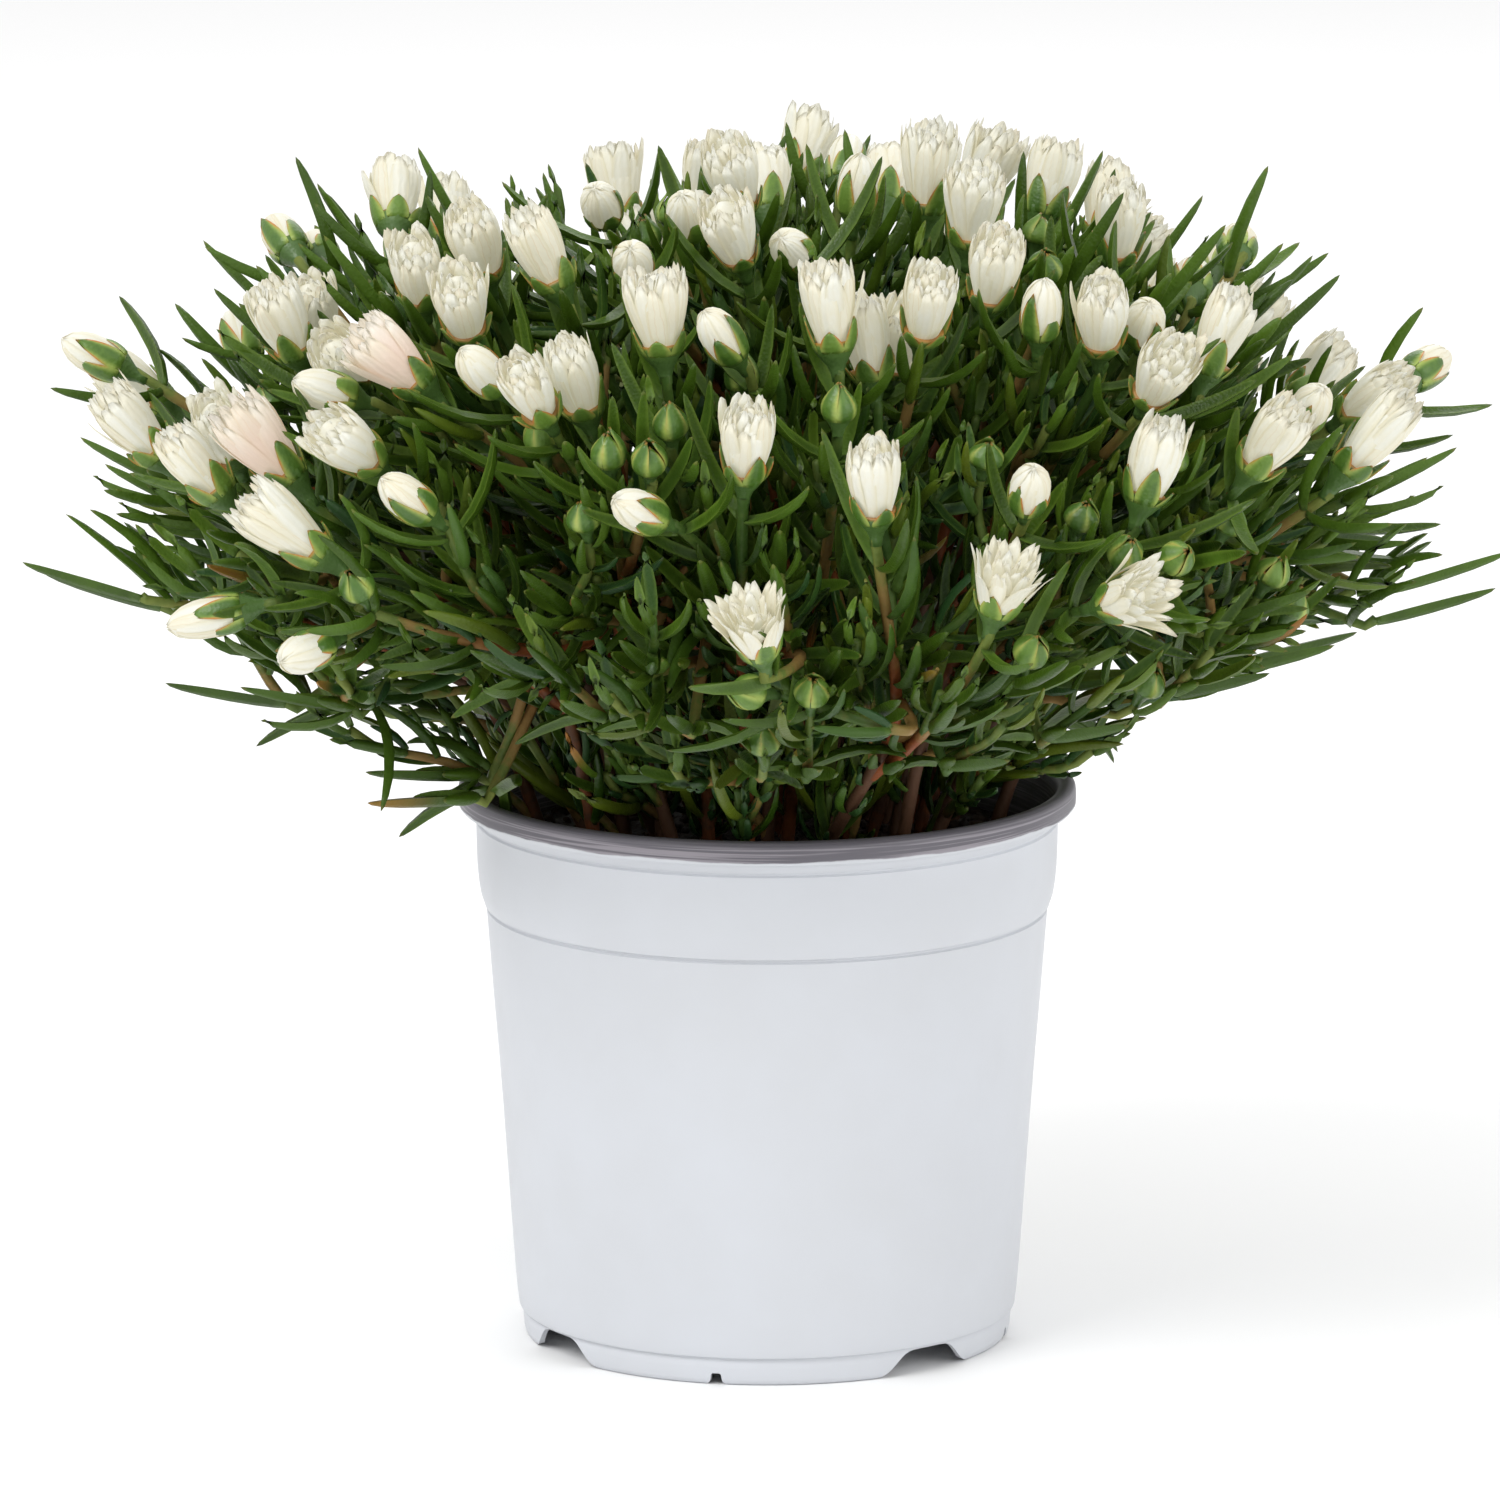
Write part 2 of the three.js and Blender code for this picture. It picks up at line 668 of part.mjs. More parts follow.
// The stem whose line keeps furthest from what is there, out of several bows. Its points
// stand at shares of the curve, then one stands a little below the foot, for the last
// pair of leaves, and the last is the foot.
function clearStem(start, leave, tip, shares, radii, taken) {
  let best;
  let widest = -Infinity;
  for (let k = 0; k < STEM_TRIES; k += 1) {
    const turn = GOLDEN_ANGLE * k;
    const size = (BOW * k) / STEM_TRIES;
    const lift = size * (((GOLDEN_SHARE * k) % 1) - 0.5);
    const bow = new THREE.Vector3(size * Math.cos(turn), size * Math.sin(turn), lift);
    const curve = stemCurve(start, leave, tip, bow);
    const last = tip.foot.clone().addScaledVector(tip.direction, -LEAF_FROM_FOOT);
    const line = [...shares.map((share) => cubic(curve, share)), last, tip.foot];
    const stem = { line, tip, radii };
    const row = stemBeads(stem);
    const gap = Math.min(gapBetween(row, taken, 2 * CLEAR), gapToPot(row, 2 * CLEAR));
    if (gap > widest) {
      widest = gap;
      best = stem;
    }
    if (gap >= 2 * CLEAR) break;
  }
  return best;
}

// The direction of a line at one of its points.
function directionAt(line, i) {
  const before = line[Math.max(0, i - 1)];
  const after = line[Math.min(line.length - 1, i + 1)];
  return after.clone().sub(before).normalize();
}

// The beads of a stem.
function stemBeads({ line, radii: [start, end] }) {
  return beads(line, (share) => start + (end - start) * share);
}

// Stems of one spray: the first runs from the root to the first tip, the others fork off it.
// A stem lists the points of its line that are joints, where shoots or leaves grow.
function growStems(spray, taken) {
  const neck = spray.root.clone().setZ(spray.root.z + NECK);
  const [first, ...others] = spray.tips;
  const forkShare = (i) => FORK_FROM + ((FORK_TO - FORK_FROM) * (i + 1)) / (others.length + 1);
  const shares = others.length ? [0, ...others.map((_, i) => forkShare(i))] : [0, 0.5];
  const main = clearStem(neck, UP, first, shares, [MAIN_RADIUS, SHOOT_RADIUS], taken);
  main.joints = main.line.map((_, i) => i).slice(1, -1);
  const shoots = others.map((tip, i) => {
    const fork = i + 1;
    const start = main.line[fork];
    const leave = directionAt(main.line, fork).add(tip.foot.clone().sub(start).normalize()).normalize();
    const radii = [SHOOT_RADIUS, SHOOT_RADIUS];
    const shoot = clearStem(start, leave, tip, [0, 0.5], radii, taken);
    return { ...shoot, fork, joints: spray.outer && i === 0 ? [1, 2] : [2] };
  });
  return [main, ...shoots];
}

// A leaf: fleshy, three-sided, thickest at its knee, bent a little towards its stem.
function placeLeaf(joint, direction, outward, length, spread) {
  const lean = (angle) =>
    direction.clone().multiplyScalar(Math.cos(angle)).addScaledVector(outward, Math.sin(angle));
  const root = joint.clone().addScaledVector(outward, LEAF_ROOT_OUT);
  const knee = root.clone().addScaledVector(lean(spread), LEAF_KNEE * length);
  const tip = knee.clone().addScaledVector(lean(spread - LEAF_BEND), (1 - LEAF_KNEE) * length);
  return { root, knee, tip, way: lean(spread) };
}

// The beads of a leaf past its root, which lies in the stem.
function leafBeads({ root, knee, tip }) {
  const radius = (share) => LEAF_RADIUS * Math.min(1, LEAF_POINT + LEAF_TAPER * (1 - share));
  return beads([root, knee, tip], radius).slice(BEADS_IN_STEM);
}

// A pair of leaves at a joint. A leaf that would touch anything turns a little, and is left
// out if that doesn't help.
function growPair({ line }, at, taken, random) {
  const direction = directionAt(line, at);
  const [first, second] = squareTo(direction, NEARLY_UP);
  const start = Math.PI * random();
  return [0, Math.PI].flatMap((side) => {
    const length = THREE.MathUtils.lerp(...LEAF_LENGTHS, random());
    for (let tried = 0; tried < LEAF_TRIES; tried += 1) {
      const turn = start + side + tried * LEAF_TURN;
      const outward = first.clone().multiplyScalar(Math.cos(turn)).addScaledVector(second, Math.sin(turn));
      const spread = LEAF_SPREAD - LEAF_CLOSING * tried;
      const leaf = placeLeaf(line[at], direction, outward, length, spread);
      const row = leafBeads(leaf);
      const gap = Math.min(gapBetween(row, taken, CLEAR), gapToPot(row, CLEAR));
      if (gap >= CLEAR && Math.abs(leaf.tip.y) < LEAF_REACH) return [leaf];
    }
    return [];
  });
}

// The leaves of a spray, as pairs: one below each tip, and on the outer sprays one more half
// way up the lowest shoot.
function growLeaves(spray, taken, random) {
  const own = [];
  spray.stems.forEach((stem, k) => {
    const others = spray.stems.filter((other) => other !== stem);
    const near = others.flatMap((other) => [...stemBeads(other), ...tipBeads(other.tip)]);
    const leafy = k === 0 ? stem.joints.slice(-1) : stem.joints;
    stem.pairs = leafy.map((at) => {
      const leaves = growPair(stem, at, [...taken, ...near, ...own], random);
      own.push(...leaves.flatMap(leafBeads));
      return { at, leaves };
    });
  });
  return own;
}

// The whole plant's layout: sprays with their stems and leaves, all clear of each other.
function layOut() {
  const sprays = groupTips(allTips());
  const rows = sprays.map((spray) => spray.tips.flatMap(tipBeads));
  const rowsBut = (i) => rows.filter((_, k) => k !== i).flat();
  sprays.forEach((spray, i) => {
    spray.stems = growStems(spray, rowsBut(i));
    rows[i].push(...spray.stems.flatMap(stemBeads));
  });
  sprays.forEach((spray, i) => {
    rows[i].push(...growLeaves(spray, rowsBut(i), seeded(i + 1)));
  });
  return sprays;
}

// Solids of a spray

// A bloom's outline, ring by ring from its foot: how far along, how wide, how many points,
// and how far every second point stands up and out. The cup's points come first, then the
// waist inside it, then the petals' jagged edge and the middle that they close round.
const OUTLINES = {
  flower: [[5.6, 5, 10, 3.2, 1.2], [5.4, 3.9, 5], [15.4, 5.7, 14, 5.6, -0.2], [14, 0, 1]],
  open: [[5.2, 5.4, 10, 2.6, 1.6], [5.2, 3.9, 5], [10.5, 6, 14, 6, 2], [10, 0, 1]],
  bud: [[5.4, 4.7, 10, 2.8, 0.6], [5.4, 3.7, 5], [11.5, 4, 5], [17, 0, 1]],
  green: [[4.5, 3.5, 5], [8, 2.6, 5], [11, 0, 1]],
  leafy: [[11, LEAF_RADIUS, 3], [26, 0, 1]],
};

// Draws a bloom, or the leading leaf of a leafy shoot, on from the end of its stem.
function drawTip(growth, from, { kind, foot, direction, length }) {
  const scale = length / KINDS[kind].length;
  const guide = growth.guideOf(from);
  let last = from;
  OUTLINES[kind].forEach(([along, wide, count, rise = 0, flare = 0]) => {
    const centre = foot.clone().addScaledVector(direction, scale * along);
    const radius = (i) => wide + flare * (i % 2);
    const height = (i) => rise * (i % 2);
    const next = growth.add(ring(centre, direction, guide, count, radius, height));
    growth.bridge(last, next);
    last = next;
  });
}

// Draws a leaf out of one of some faces.
function drawLeaf(growth, faces, { root, knee, tip, way }) {
  const from = growth.open(faces, way);
  const middle = growth.draw(from, knee, tip.clone().sub(root).normalize(), LEAF_RADIUS);
  growth.bridge(from, middle);
  growth.bridge(middle, growth.add([tip]));
}

// Draws a stem on from a ring, with its tip. A joint is a short length between two rings.
// Returns the faces of each joint.
function drawStem(growth, from, { line, radii: [start, end], joints, tip }) {
  const faces = {};
  let last = from;
  line.slice(1).forEach((point, k) => {
    const i = k + 1;
    const radius = start + ((end - start) * i) / (line.length - 1);
    const direction = directionAt(line, i);
    const offsets = joints.includes(i) ? [-JOINT_HALF, JOINT_HALF] : [0];
    offsets.forEach((offset) => {
      const centre = point.clone().addScaledVector(direction, offset);
      const next = growth.draw(last, centre, direction, radius);
      faces[i] = growth.bridge(last, next);
      last = next;
    });
  });
  drawTip(growth, last, tip);
  return faces;
}

// A spray as one solid, from the bottom of its hole in the soil.
function spraySolid({ root, stems: [main, ...shoots] }) {
  const growth = new Growth();
  const ends = [FIT_GAP - HOLE_DEPTH, NECK].map((height) => root.clone().setZ(root.z + height));
  const [low, neck] = ends.map((end) => growth.add(ring(end, UP, ACROSS, STEM_SIDES, () => MAIN_RADIUS)));
  growth.close(low);
  growth.bridge(low, neck);
  const mainFaces = drawStem(growth, neck, main);
  const drawn = [[main, mainFaces]];
  shoots.forEach((shoot) => {
    const way = shoot.line[1].clone().sub(shoot.line[0]).normalize();
    const from = growth.open(mainFaces[shoot.fork], way);
    drawn.push([shoot, drawStem(growth, from, shoot)]);
  });
  drawn.forEach(([stem, faces]) => {
    stem.pairs.forEach(({ at, leaves }) => leaves.forEach((leaf) => drawLeaf(growth, faces[at], leaf)));
  });
  return solid(growth.geometry());
}

// The potted plant

const plastic = new THREE.MeshStandardMaterial({ color: 0xdde1ea, roughness: 0.45, metalness: 0 });
const earth = new THREE.MeshStandardMaterial({ color: 0x3a2a1e, roughness: 0.95, metalness: 0 });
const leafGreen = new THREE.MeshStandardMaterial({ color: 0x3f6b38, roughness: 0.5, metalness: 0 });

const sprays = layOut();
const roots = sprays.map((spray) => spray.root);
const pottedPlant = new THREE.Group();
pottedPlant.add(mesh("pot", pot(), plastic));
pottedPlant.add(mesh("soil", soil(roots), earth));
sprays.forEach((spray, i) => {
  pottedPlant.add(mesh("spray_" + (i + 1), spraySolid(spray), leafGreen));
});

export default pottedPlant;
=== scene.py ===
"""Looks of a potted trailing ice plant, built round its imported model.

A mesh is worked out in millimetres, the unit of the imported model's source, and is scaled to
metres when it is made. The front of the pot faces -Y. The places of the blooms, stems and
main leaves come from the same rule and values as in that source, so that every piece lies on
the node that it stands for.
"""

import json
import logging
import math
from dataclasses import dataclass, field
from enum import Enum
from typing import Callable

import bmesh
import bpy
import numpy as np
from mathutils import Matrix, Vector, noise

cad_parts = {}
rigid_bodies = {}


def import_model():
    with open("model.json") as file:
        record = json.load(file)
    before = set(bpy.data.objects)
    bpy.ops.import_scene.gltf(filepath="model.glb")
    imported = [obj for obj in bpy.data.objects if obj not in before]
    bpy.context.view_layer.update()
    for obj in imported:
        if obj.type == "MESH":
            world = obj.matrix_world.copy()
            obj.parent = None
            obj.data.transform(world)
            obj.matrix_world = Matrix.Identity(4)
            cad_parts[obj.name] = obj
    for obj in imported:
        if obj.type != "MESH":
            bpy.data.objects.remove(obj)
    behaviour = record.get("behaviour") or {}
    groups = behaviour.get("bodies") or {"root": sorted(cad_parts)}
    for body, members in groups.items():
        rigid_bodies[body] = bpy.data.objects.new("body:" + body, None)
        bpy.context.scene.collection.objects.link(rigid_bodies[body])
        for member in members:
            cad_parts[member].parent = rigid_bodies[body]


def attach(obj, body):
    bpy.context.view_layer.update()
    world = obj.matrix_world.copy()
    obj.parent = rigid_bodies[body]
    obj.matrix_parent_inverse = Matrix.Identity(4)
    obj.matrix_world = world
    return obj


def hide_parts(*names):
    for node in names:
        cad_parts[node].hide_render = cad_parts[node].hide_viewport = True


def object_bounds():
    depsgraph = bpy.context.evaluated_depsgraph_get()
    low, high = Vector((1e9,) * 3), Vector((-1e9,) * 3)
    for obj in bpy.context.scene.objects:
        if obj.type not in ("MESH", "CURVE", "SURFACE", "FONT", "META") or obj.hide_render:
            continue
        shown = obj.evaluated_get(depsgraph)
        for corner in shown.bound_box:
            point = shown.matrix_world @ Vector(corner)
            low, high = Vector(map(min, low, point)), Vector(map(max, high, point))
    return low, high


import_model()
CAD_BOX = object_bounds()

LOG = logging.getLogger("ice_plant")
MILLIMETRE = 0.001

Array = np.ndarray
Place = tuple[float, float]
Colour = tuple[float, float, float]
Socket = bpy.types.NodeSocket
NodeTree = bpy.types.NodeTree
Material = bpy.types.Material
Object = bpy.types.Object
Mesh = bpy.types.Mesh

UP = np.array([0.0, 0.0, 1.0])
NEARLY_UP = np.array([0.1, 0.2, 1.0])
GOLDEN_ANGLE = math.pi * (3 - math.sqrt(5))
GOLDEN_SHARE = (math.sqrt(5) - 1) / 2


class Kind(Enum):
    """What grows at the end of a shoot."""

    FLOWER = "flower"
    OPEN = "open"
    BUD = "bud"
    GREEN = "green"
    LEAFY = "leafy"


@dataclass(frozen=True)
class KindSizes:
    """Size of a shoot's end: length from the foot of the cup, and the barrel round it."""

    length: float
    radius: float
    blunt: float


KIND_SIZES = {
    Kind.FLOWER: KindSizes(22, 6.2, 0.92), Kind.OPEN: KindSizes(19, 8, 1),
    Kind.BUD: KindSizes(17, 5.3, 0.1), Kind.GREEN: KindSizes(11, 3.6, 0.1),
    Kind.LEAFY: KindSizes(26, 1.7, 0.1),
}

# Every bloom that the front shows: the place of its tip in the picture and that of its foot.
FRONT_BLOOMS: list[tuple[Kind, Place, Place]] = [
    (Kind.BUD, (60, 338), (135, 375)), (Kind.FLOWER, (98, 385), (172, 470)),
    (Kind.FLOWER, (98, 358), (178, 418)), (Kind.FLOWER, (162, 425), (232, 508)),
    (Kind.FLOWER, (222, 398), (306, 495)), (Kind.FLOWER, (204, 392), (240, 470)),
    (Kind.FLOWER, (237, 492), (338, 568)), (Kind.FLOWER, (314, 418), (383, 470)),
    (Kind.BUD, (378, 476), (437, 521)), (Kind.FLOWER, (350, 322), (437, 400)),
    (Kind.BUD, (291, 380), (367, 403)), (Kind.FLOWER, (325, 338), (362, 385)),
    (Kind.FLOWER, (262, 275), (303, 368)), (Kind.FLOWER, (305, 272), (322, 350)),
    (Kind.BUD, (271, 220), (300, 262)), (Kind.BUD, (312, 240), (325, 265)),
    (Kind.FLOWER, (395, 168), (395, 240)), (Kind.FLOWER, (408, 229), (425, 312)),
    (Kind.FLOWER, (453, 264), (470, 345)), (Kind.FLOWER, (462, 198), (490, 288)),
    (Kind.BUD, (458, 347), (505, 395)), (Kind.BUD, (165, 628), (262, 605)),
    (Kind.BUD, (283, 662), (335, 640)), (Kind.FLOWER, (518, 203), (566, 304)),
    (Kind.FLOWER, (508, 355), (550, 425)), (Kind.FLOWER, (559, 330), (591, 428)),
    (Kind.BUD, (593, 186), (609, 224)), (Kind.FLOWER, (652, 263), (665, 371)),
    (Kind.BUD, (630, 247), (636, 279)), (Kind.BUD, (681, 191), (693, 240)),
    (Kind.FLOWER, (722, 130), (744, 221)), (Kind.FLOWER, (764, 156), (770, 228)),
    (Kind.FLOWER, (716, 189), (744, 272)), (Kind.BUD, (701, 307), (741, 365)),
    (Kind.BUD, (779, 237), (805, 263)), (Kind.FLOWER, (824, 256), (837, 368)),
    (Kind.FLOWER, (859, 288), (875, 396)), (Kind.BUD, (862, 149), (853, 227)),
    (Kind.FLOWER, (888, 157), (885, 220)), (Kind.FLOWER, (751, 393), (744, 492)),
    (Kind.FLOWER, (872, 432), (876, 533)), (Kind.BUD, (612, 499), (668, 524)),
    (Kind.OPEN, (744, 589), (764, 665)), (Kind.FLOWER, (933, 116), (923, 230)),
    (Kind.FLOWER, (977, 157), (968, 259)), (Kind.FLOWER, (1003, 223), (987, 316)),
    (Kind.FLOWER, (936, 259), (920, 351)), (Kind.FLOWER, (914, 297), (890, 380)),
    (Kind.BUD, (1045, 273), (1038, 349)), (Kind.FLOWER, (1105, 271), (1099, 361)),
    (Kind.FLOWER, (1124, 175), (1115, 275)), (Kind.BUD, (1240, 232), (1235, 262)),
    (Kind.BUD, (1229, 249), (1217, 287)), (Kind.FLOWER, (1239, 281), (1200, 389)),
    (Kind.FLOWER, (1182, 341), (1143, 408)), (Kind.FLOWER, (1169, 412), (1137, 518)),
    (Kind.FLOWER, (1303, 399), (1242, 482)), (Kind.BUD, (1035, 464), (1025, 514)),
    (Kind.OPEN, (1017, 541), (991, 627)), (Kind.OPEN, (1167, 588), (1093, 608)),
    (Kind.BUD, (1446, 353), (1400, 385)), (Kind.FLOWER, (1415, 391), (1332, 487)),
    (Kind.FLOWER, (1411, 374), (1338, 423)), (Kind.BUD, (1325, 385), (1295, 430)),
    (Kind.BUD, (1150, 300), (1140, 345)), (Kind.BUD, (1193, 265), (1190, 300)),
    (Kind.GREEN, (742, 342), (742, 405)), (Kind.GREEN, (840, 378), (838, 430)),
    (Kind.GREEN, (668, 397), (672, 443)), (Kind.GREEN, (648, 435), (650, 478)),
    (Kind.GREEN, (535, 410), (545, 455)), (Kind.GREEN, (606, 425), (610, 475)),
    (Kind.GREEN, (1046, 245), (1044, 285)), (Kind.GREEN, (345, 565), (365, 600)),
    (Kind.GREEN, (725, 690), (768, 694)), (Kind.GREEN, (1040, 632), (1025, 665)),
    (Kind.GREEN, (1192, 548), (1165, 566)), (Kind.GREEN, (1135, 535), (1118, 566)),
]

# Shoots that end in leaves, each given by the tip of its leading leaf.
FRONT_LEAFY: list[Place] = [
    (22, 562), (1496, 588), (418, 147), (317, 183), (203, 240), (80, 437), (165, 683), (240, 687),
    (365, 772), (367, 803), (1103, 150), (1203, 195), (1313, 255), (1428, 457), (1335, 645),
    (1312, 590), (1270, 673), (543, 172), (560, 700), (470, 650), (620, 640), (668, 715),
    (840, 650), (900, 700), (948, 632), (1010, 760), (1130, 725), (780, 530), (700, 560),
    (520, 570), (410, 590), (1210, 480), (820, 770),
]

# The two blooms that have turned pale pink with age, by the place of the tip.
PINK_BLOOMS: list[Place] = [(222, 398), (350, 322)]


def unit(vector: Array) -> Array:
    """Scales vectors to length one, along the last axis."""
    return vector / np.linalg.norm(vector, axis=-1, keepdims=True)


def square_to(direction: Array, guide: Array) -> tuple[Array, Array]:
    """Finds two unit vectors square to a direction and to each other.

    Args:
        direction: A unit vector, or a row of them.
        guide: What the first result comes as near to as it can.

    Returns:
        The two vectors. With the direction as third they are right-handed.
    """
    along = np.sum(guide * direction, axis=-1, keepdims=True)
    first = unit(guide - direction * along)
    return first, np.cross(direction, first)


def round_axis(first: Array, second: Array, turn: float) -> Array:
    """The direction at an angle round an axis, from two unit vectors square to it."""
    return first * math.cos(turn) + second * math.sin(turn)


def even_turns(count: int) -> Array:
    """Angles that share out a full turn."""
    return np.arange(count) * 2 * math.pi / count


def ring_directions(along: Array, sides: int) -> Array:
    """The directions from the middle to the corners of rings square to some directions."""
    first, second = square_to(along, np.broadcast_to(NEARLY_UP, along.shape))
    turns = even_turns(sides)
    return np.cos(turns)[None, :, None] * first[:, None] + np.sin(turns)[None, :, None] * second[:, None]


def steps_between(points: Array) -> Array:
    """How far each point of a line is from the one before."""
    return np.linalg.norm(np.diff(points, axis=0), axis=1)


def cubic(curve: list[Array], share: float) -> Array:
    """A point a share of the way along a cubic curve with four control points."""
    rest = 1 - share
    weights = (rest**3, 3 * rest**2 * share, 3 * rest * share**2, share**3)
    return sum(control * weight for control, weight in zip(curve, weights))


class SeededRow:
    """An even random number from 0 to 1 at each draw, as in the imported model's source."""

    MULTIPLIER = 1664525
    INCREMENT = 1013904223
    RANGE = 4294967296

    def __init__(self, seed: int) -> None:
        """Starts the row at a seed."""
        self.state = seed

    def draw(self) -> float:
        """The next number of the row."""
        self.state = (self.state * self.MULTIPLIER + self.INCREMENT) % self.RANGE
        return self.state / self.RANGE


@dataclass(frozen=True)
class PotSizes:
    """Driving sizes of the pot and the soil in it."""

    height: float = 118.5
    wall: float = 0.9
    rim_radius: float = 65
    rim_band_low: float = 113.3
    collar_top_radius: float = 61.4
    collar_low_radius: float = 60.2
    collar_low: float = 94.8
    step_low: float = 92
    step_radius: float = 59.2
    base_low: float = 6
    base_radius: float = 52.4
    floor: float = 1.2
    gate_angles: tuple[float, ...] = (-58, 41, 131, 221)
    gate_foot_width: float = 24
    gate_top_width: float = 9
    gate_height: float = 5.4
    notch_angles: tuple[float, ...] = (-12, 78, 168, 258)
    notch_foot_width: float = 3.4
    notch_top_width: float = 1.8
    notch_height: float = 2.2
    drain_holes: int = 6
    drain_radius: float = 3.5
    drain_circle: float = 30
    soil_gap: float = 0.3
    soil_edge: float = 105
    soil_crown: float = 108.5

    def inner_radius(self, height: float) -> float:
        """The radius of the wall's inner face at a height."""
        heights = (self.base_low, self.step_low, self.collar_low, self.rim_band_low)
        radii = (self.base_radius, self.step_radius, self.collar_low_radius, self.collar_top_radius)
        return float(np.interp(height, heights, radii)) - self.wall

    def soil_top(self, radius: Array | float) -> Array | float:
        """The height of the soil's surface at a distance from the axis."""
        edge = self.inner_radius(self.soil_edge)
        return self.soil_crown - (self.soil_crown - self.soil_edge) * (radius / edge) ** 2


@dataclass(frozen=True)
class Sight:
    """The view that the picture coordinates are read in, and that the camera takes."""

    eye: tuple[float, float, float] = (-3.6, -2800, 693)
    look_down_deg: float = 11.47
    focal_length: float = 13589
    picture: float = 1500

    def line(self, place: Place) -> Array:
        """The direction from the eye through a place in the picture.

        Args:
            place: The place.

        Returns:
            The direction, with its length left as it is.
        """
        down = math.radians(self.look_down_deg)
        right = (place[0] - self.picture / 2) / self.focal_length
        up = (self.picture / 2 - place[1]) / self.focal_length
        ahead = math.cos(down) + up * math.sin(down)
        rise = -math.sin(down) + up * math.cos(down)
        return np.array([right, ahead, rise])

    def seen_at(self, place: Place, depth: float) -> Array:
        """The point seen at a place, at a depth in front of or behind the pot's axis."""
        line = self.line(place)
        return np.array(self.eye) + line * ((depth - self.eye[1]) / line[1])


@dataclass(frozen=True)
class Dome:
    """The half-dome that the feet of the blooms lie on."""

    height: float = 163
    x: float = 131
    y: float = 120
    up: float = 78
    down: float = 47

    def share(self, point: Array) -> Array:
        """How far out points lie: 1 on the dome, less inside it."""
        rise = point[..., 2] - self.height
        tall = np.where(rise > 0, self.up, self.down)
        return np.sqrt((point[..., 0] / self.x) ** 2 + (point[..., 1] / self.y) ** 2 + (rise / tall) ** 2)

    def depth(self, sight: Sight, place: Place) -> float:
        """The depth at which a sight line first meets the dome, or passes closest to it.

        Args:
            sight: The view.
            place: The sight line's place in the picture.

        Returns:
            The depth.
        """
        depths = np.arange(-self.y, self.y + 1)
        shares = self.share(np.array([sight.seen_at(place, depth) for depth in depths]))
        within = np.flatnonzero(shares <= 1)
        return float(depths[within[0] if len(within) else int(np.argmin(shares))])


@dataclass
class Tip:
    """The end of a shoot: a bloom, a bud or a leading leaf."""

    kind: Kind
    foot: Array
    direction: Array
    length: float
    pink: bool = False

    @property
    def end(self) -> Array:
        """The point at its far end."""
        return self.foot + self.direction * self.length

    def turned_round(self) -> "Tip":
        """The same tip half way round the pot."""
        about = np.array([-1.0, -1.0, 1.0])
        return Tip(self.kind, self.foot * about, self.direction * about, self.length)


@dataclass
class Leaf:
    """A fleshy leaf: where it starts, where it bends, its tip and its upper side."""

    root: Array
    knee: Array
    tip: Array
    upper: Array
    radius: float = 1.75
    blush: float = 0.0
    youth: float = 0.0
    hue: float = 0.0


@dataclass
class Stem:
    """A stem: the points of its line, its radii at the start and the end, and its tip."""

    line: list[Array]
    tip: Tip
    radii: tuple[float, float]
    joints: list[int] = field(default_factory=list)
    pairs: dict[int, list[Leaf]] = field(default_factory=dict)
    turn: float = 0.0

    def direction_at(self, i: int) -> Array:
        """The direction of the line at one of its points."""
        before = self.line[max(0, i - 1)]
        after = self.line[min(len(self.line) - 1, i + 1)]
        return unit(after - before)


@dataclass
class Spray:
    """Shoots that share a root, the furthest tip first."""

    number: int
    root: Array
    tips: list[Tip]
    outer: bool
    stems: list[Stem] = field(default_factory=list)


@dataclass(frozen=True)
class GrowthRule:
    """Values of the rule that lays out tips, stems and leaves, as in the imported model's source."""

    # How tips share roots, which stand on three circles
    tips_in_a_spray: int = 4
    circle_edges: tuple[float, ...] = (62, 104)
    root_circles: tuple[float, ...] = (13, 29, 44)
    root_stagger: float = 4
    # The stems' radii, and how their lines run and fork
    main_radius: float = 2.4
    shoot_radius: float = 1.7
    neck: float = 3
    hold: float = 0.45
    longest_hold: float = 34
    fork_from: float = 0.15
    fork_to: float = 0.75
    joint_half: float = 1.4
    bow: float = 34
    stem_tries: int = 48
    # The leaves' sizes, and how they stand
    leaf_lengths: tuple[float, float] = (20, 29)
    leaf_radius: float = 1.75
    leaf_from_foot: float = 6
    leaf_root_out: float = 1
    leaf_knee: float = 0.45
    leaf_bend: float = 0.4
    leaf_spread: float = 0.95
    leaf_turn: float = 0.45
    leaf_closing: float = 0.03
    leaf_tries: int = 8
    leaf_reach: float = 137
    # How clearance is measured
    clear: float = 0.5
    bead_spacing: float = 1.6
    barrel_start: float = 0.3
    barrel_widening: float = 2.4
    barrel_closing: float = 2
    leaf_point: float = 0.1
    leaf_taper: float = 2.2
    beads_in_stem: int = 3
    # How a bloom steps back where it has no room, and how the rear repeats the front
    step_back: float = 2.5
    steps_back: int = 14
    rear_from: float = 18
    rear_thinning: int = 3


def bearing(point: Array) -> float:
    """Which way round the pot a point lies."""
    return math.atan2(point[0], -point[1])


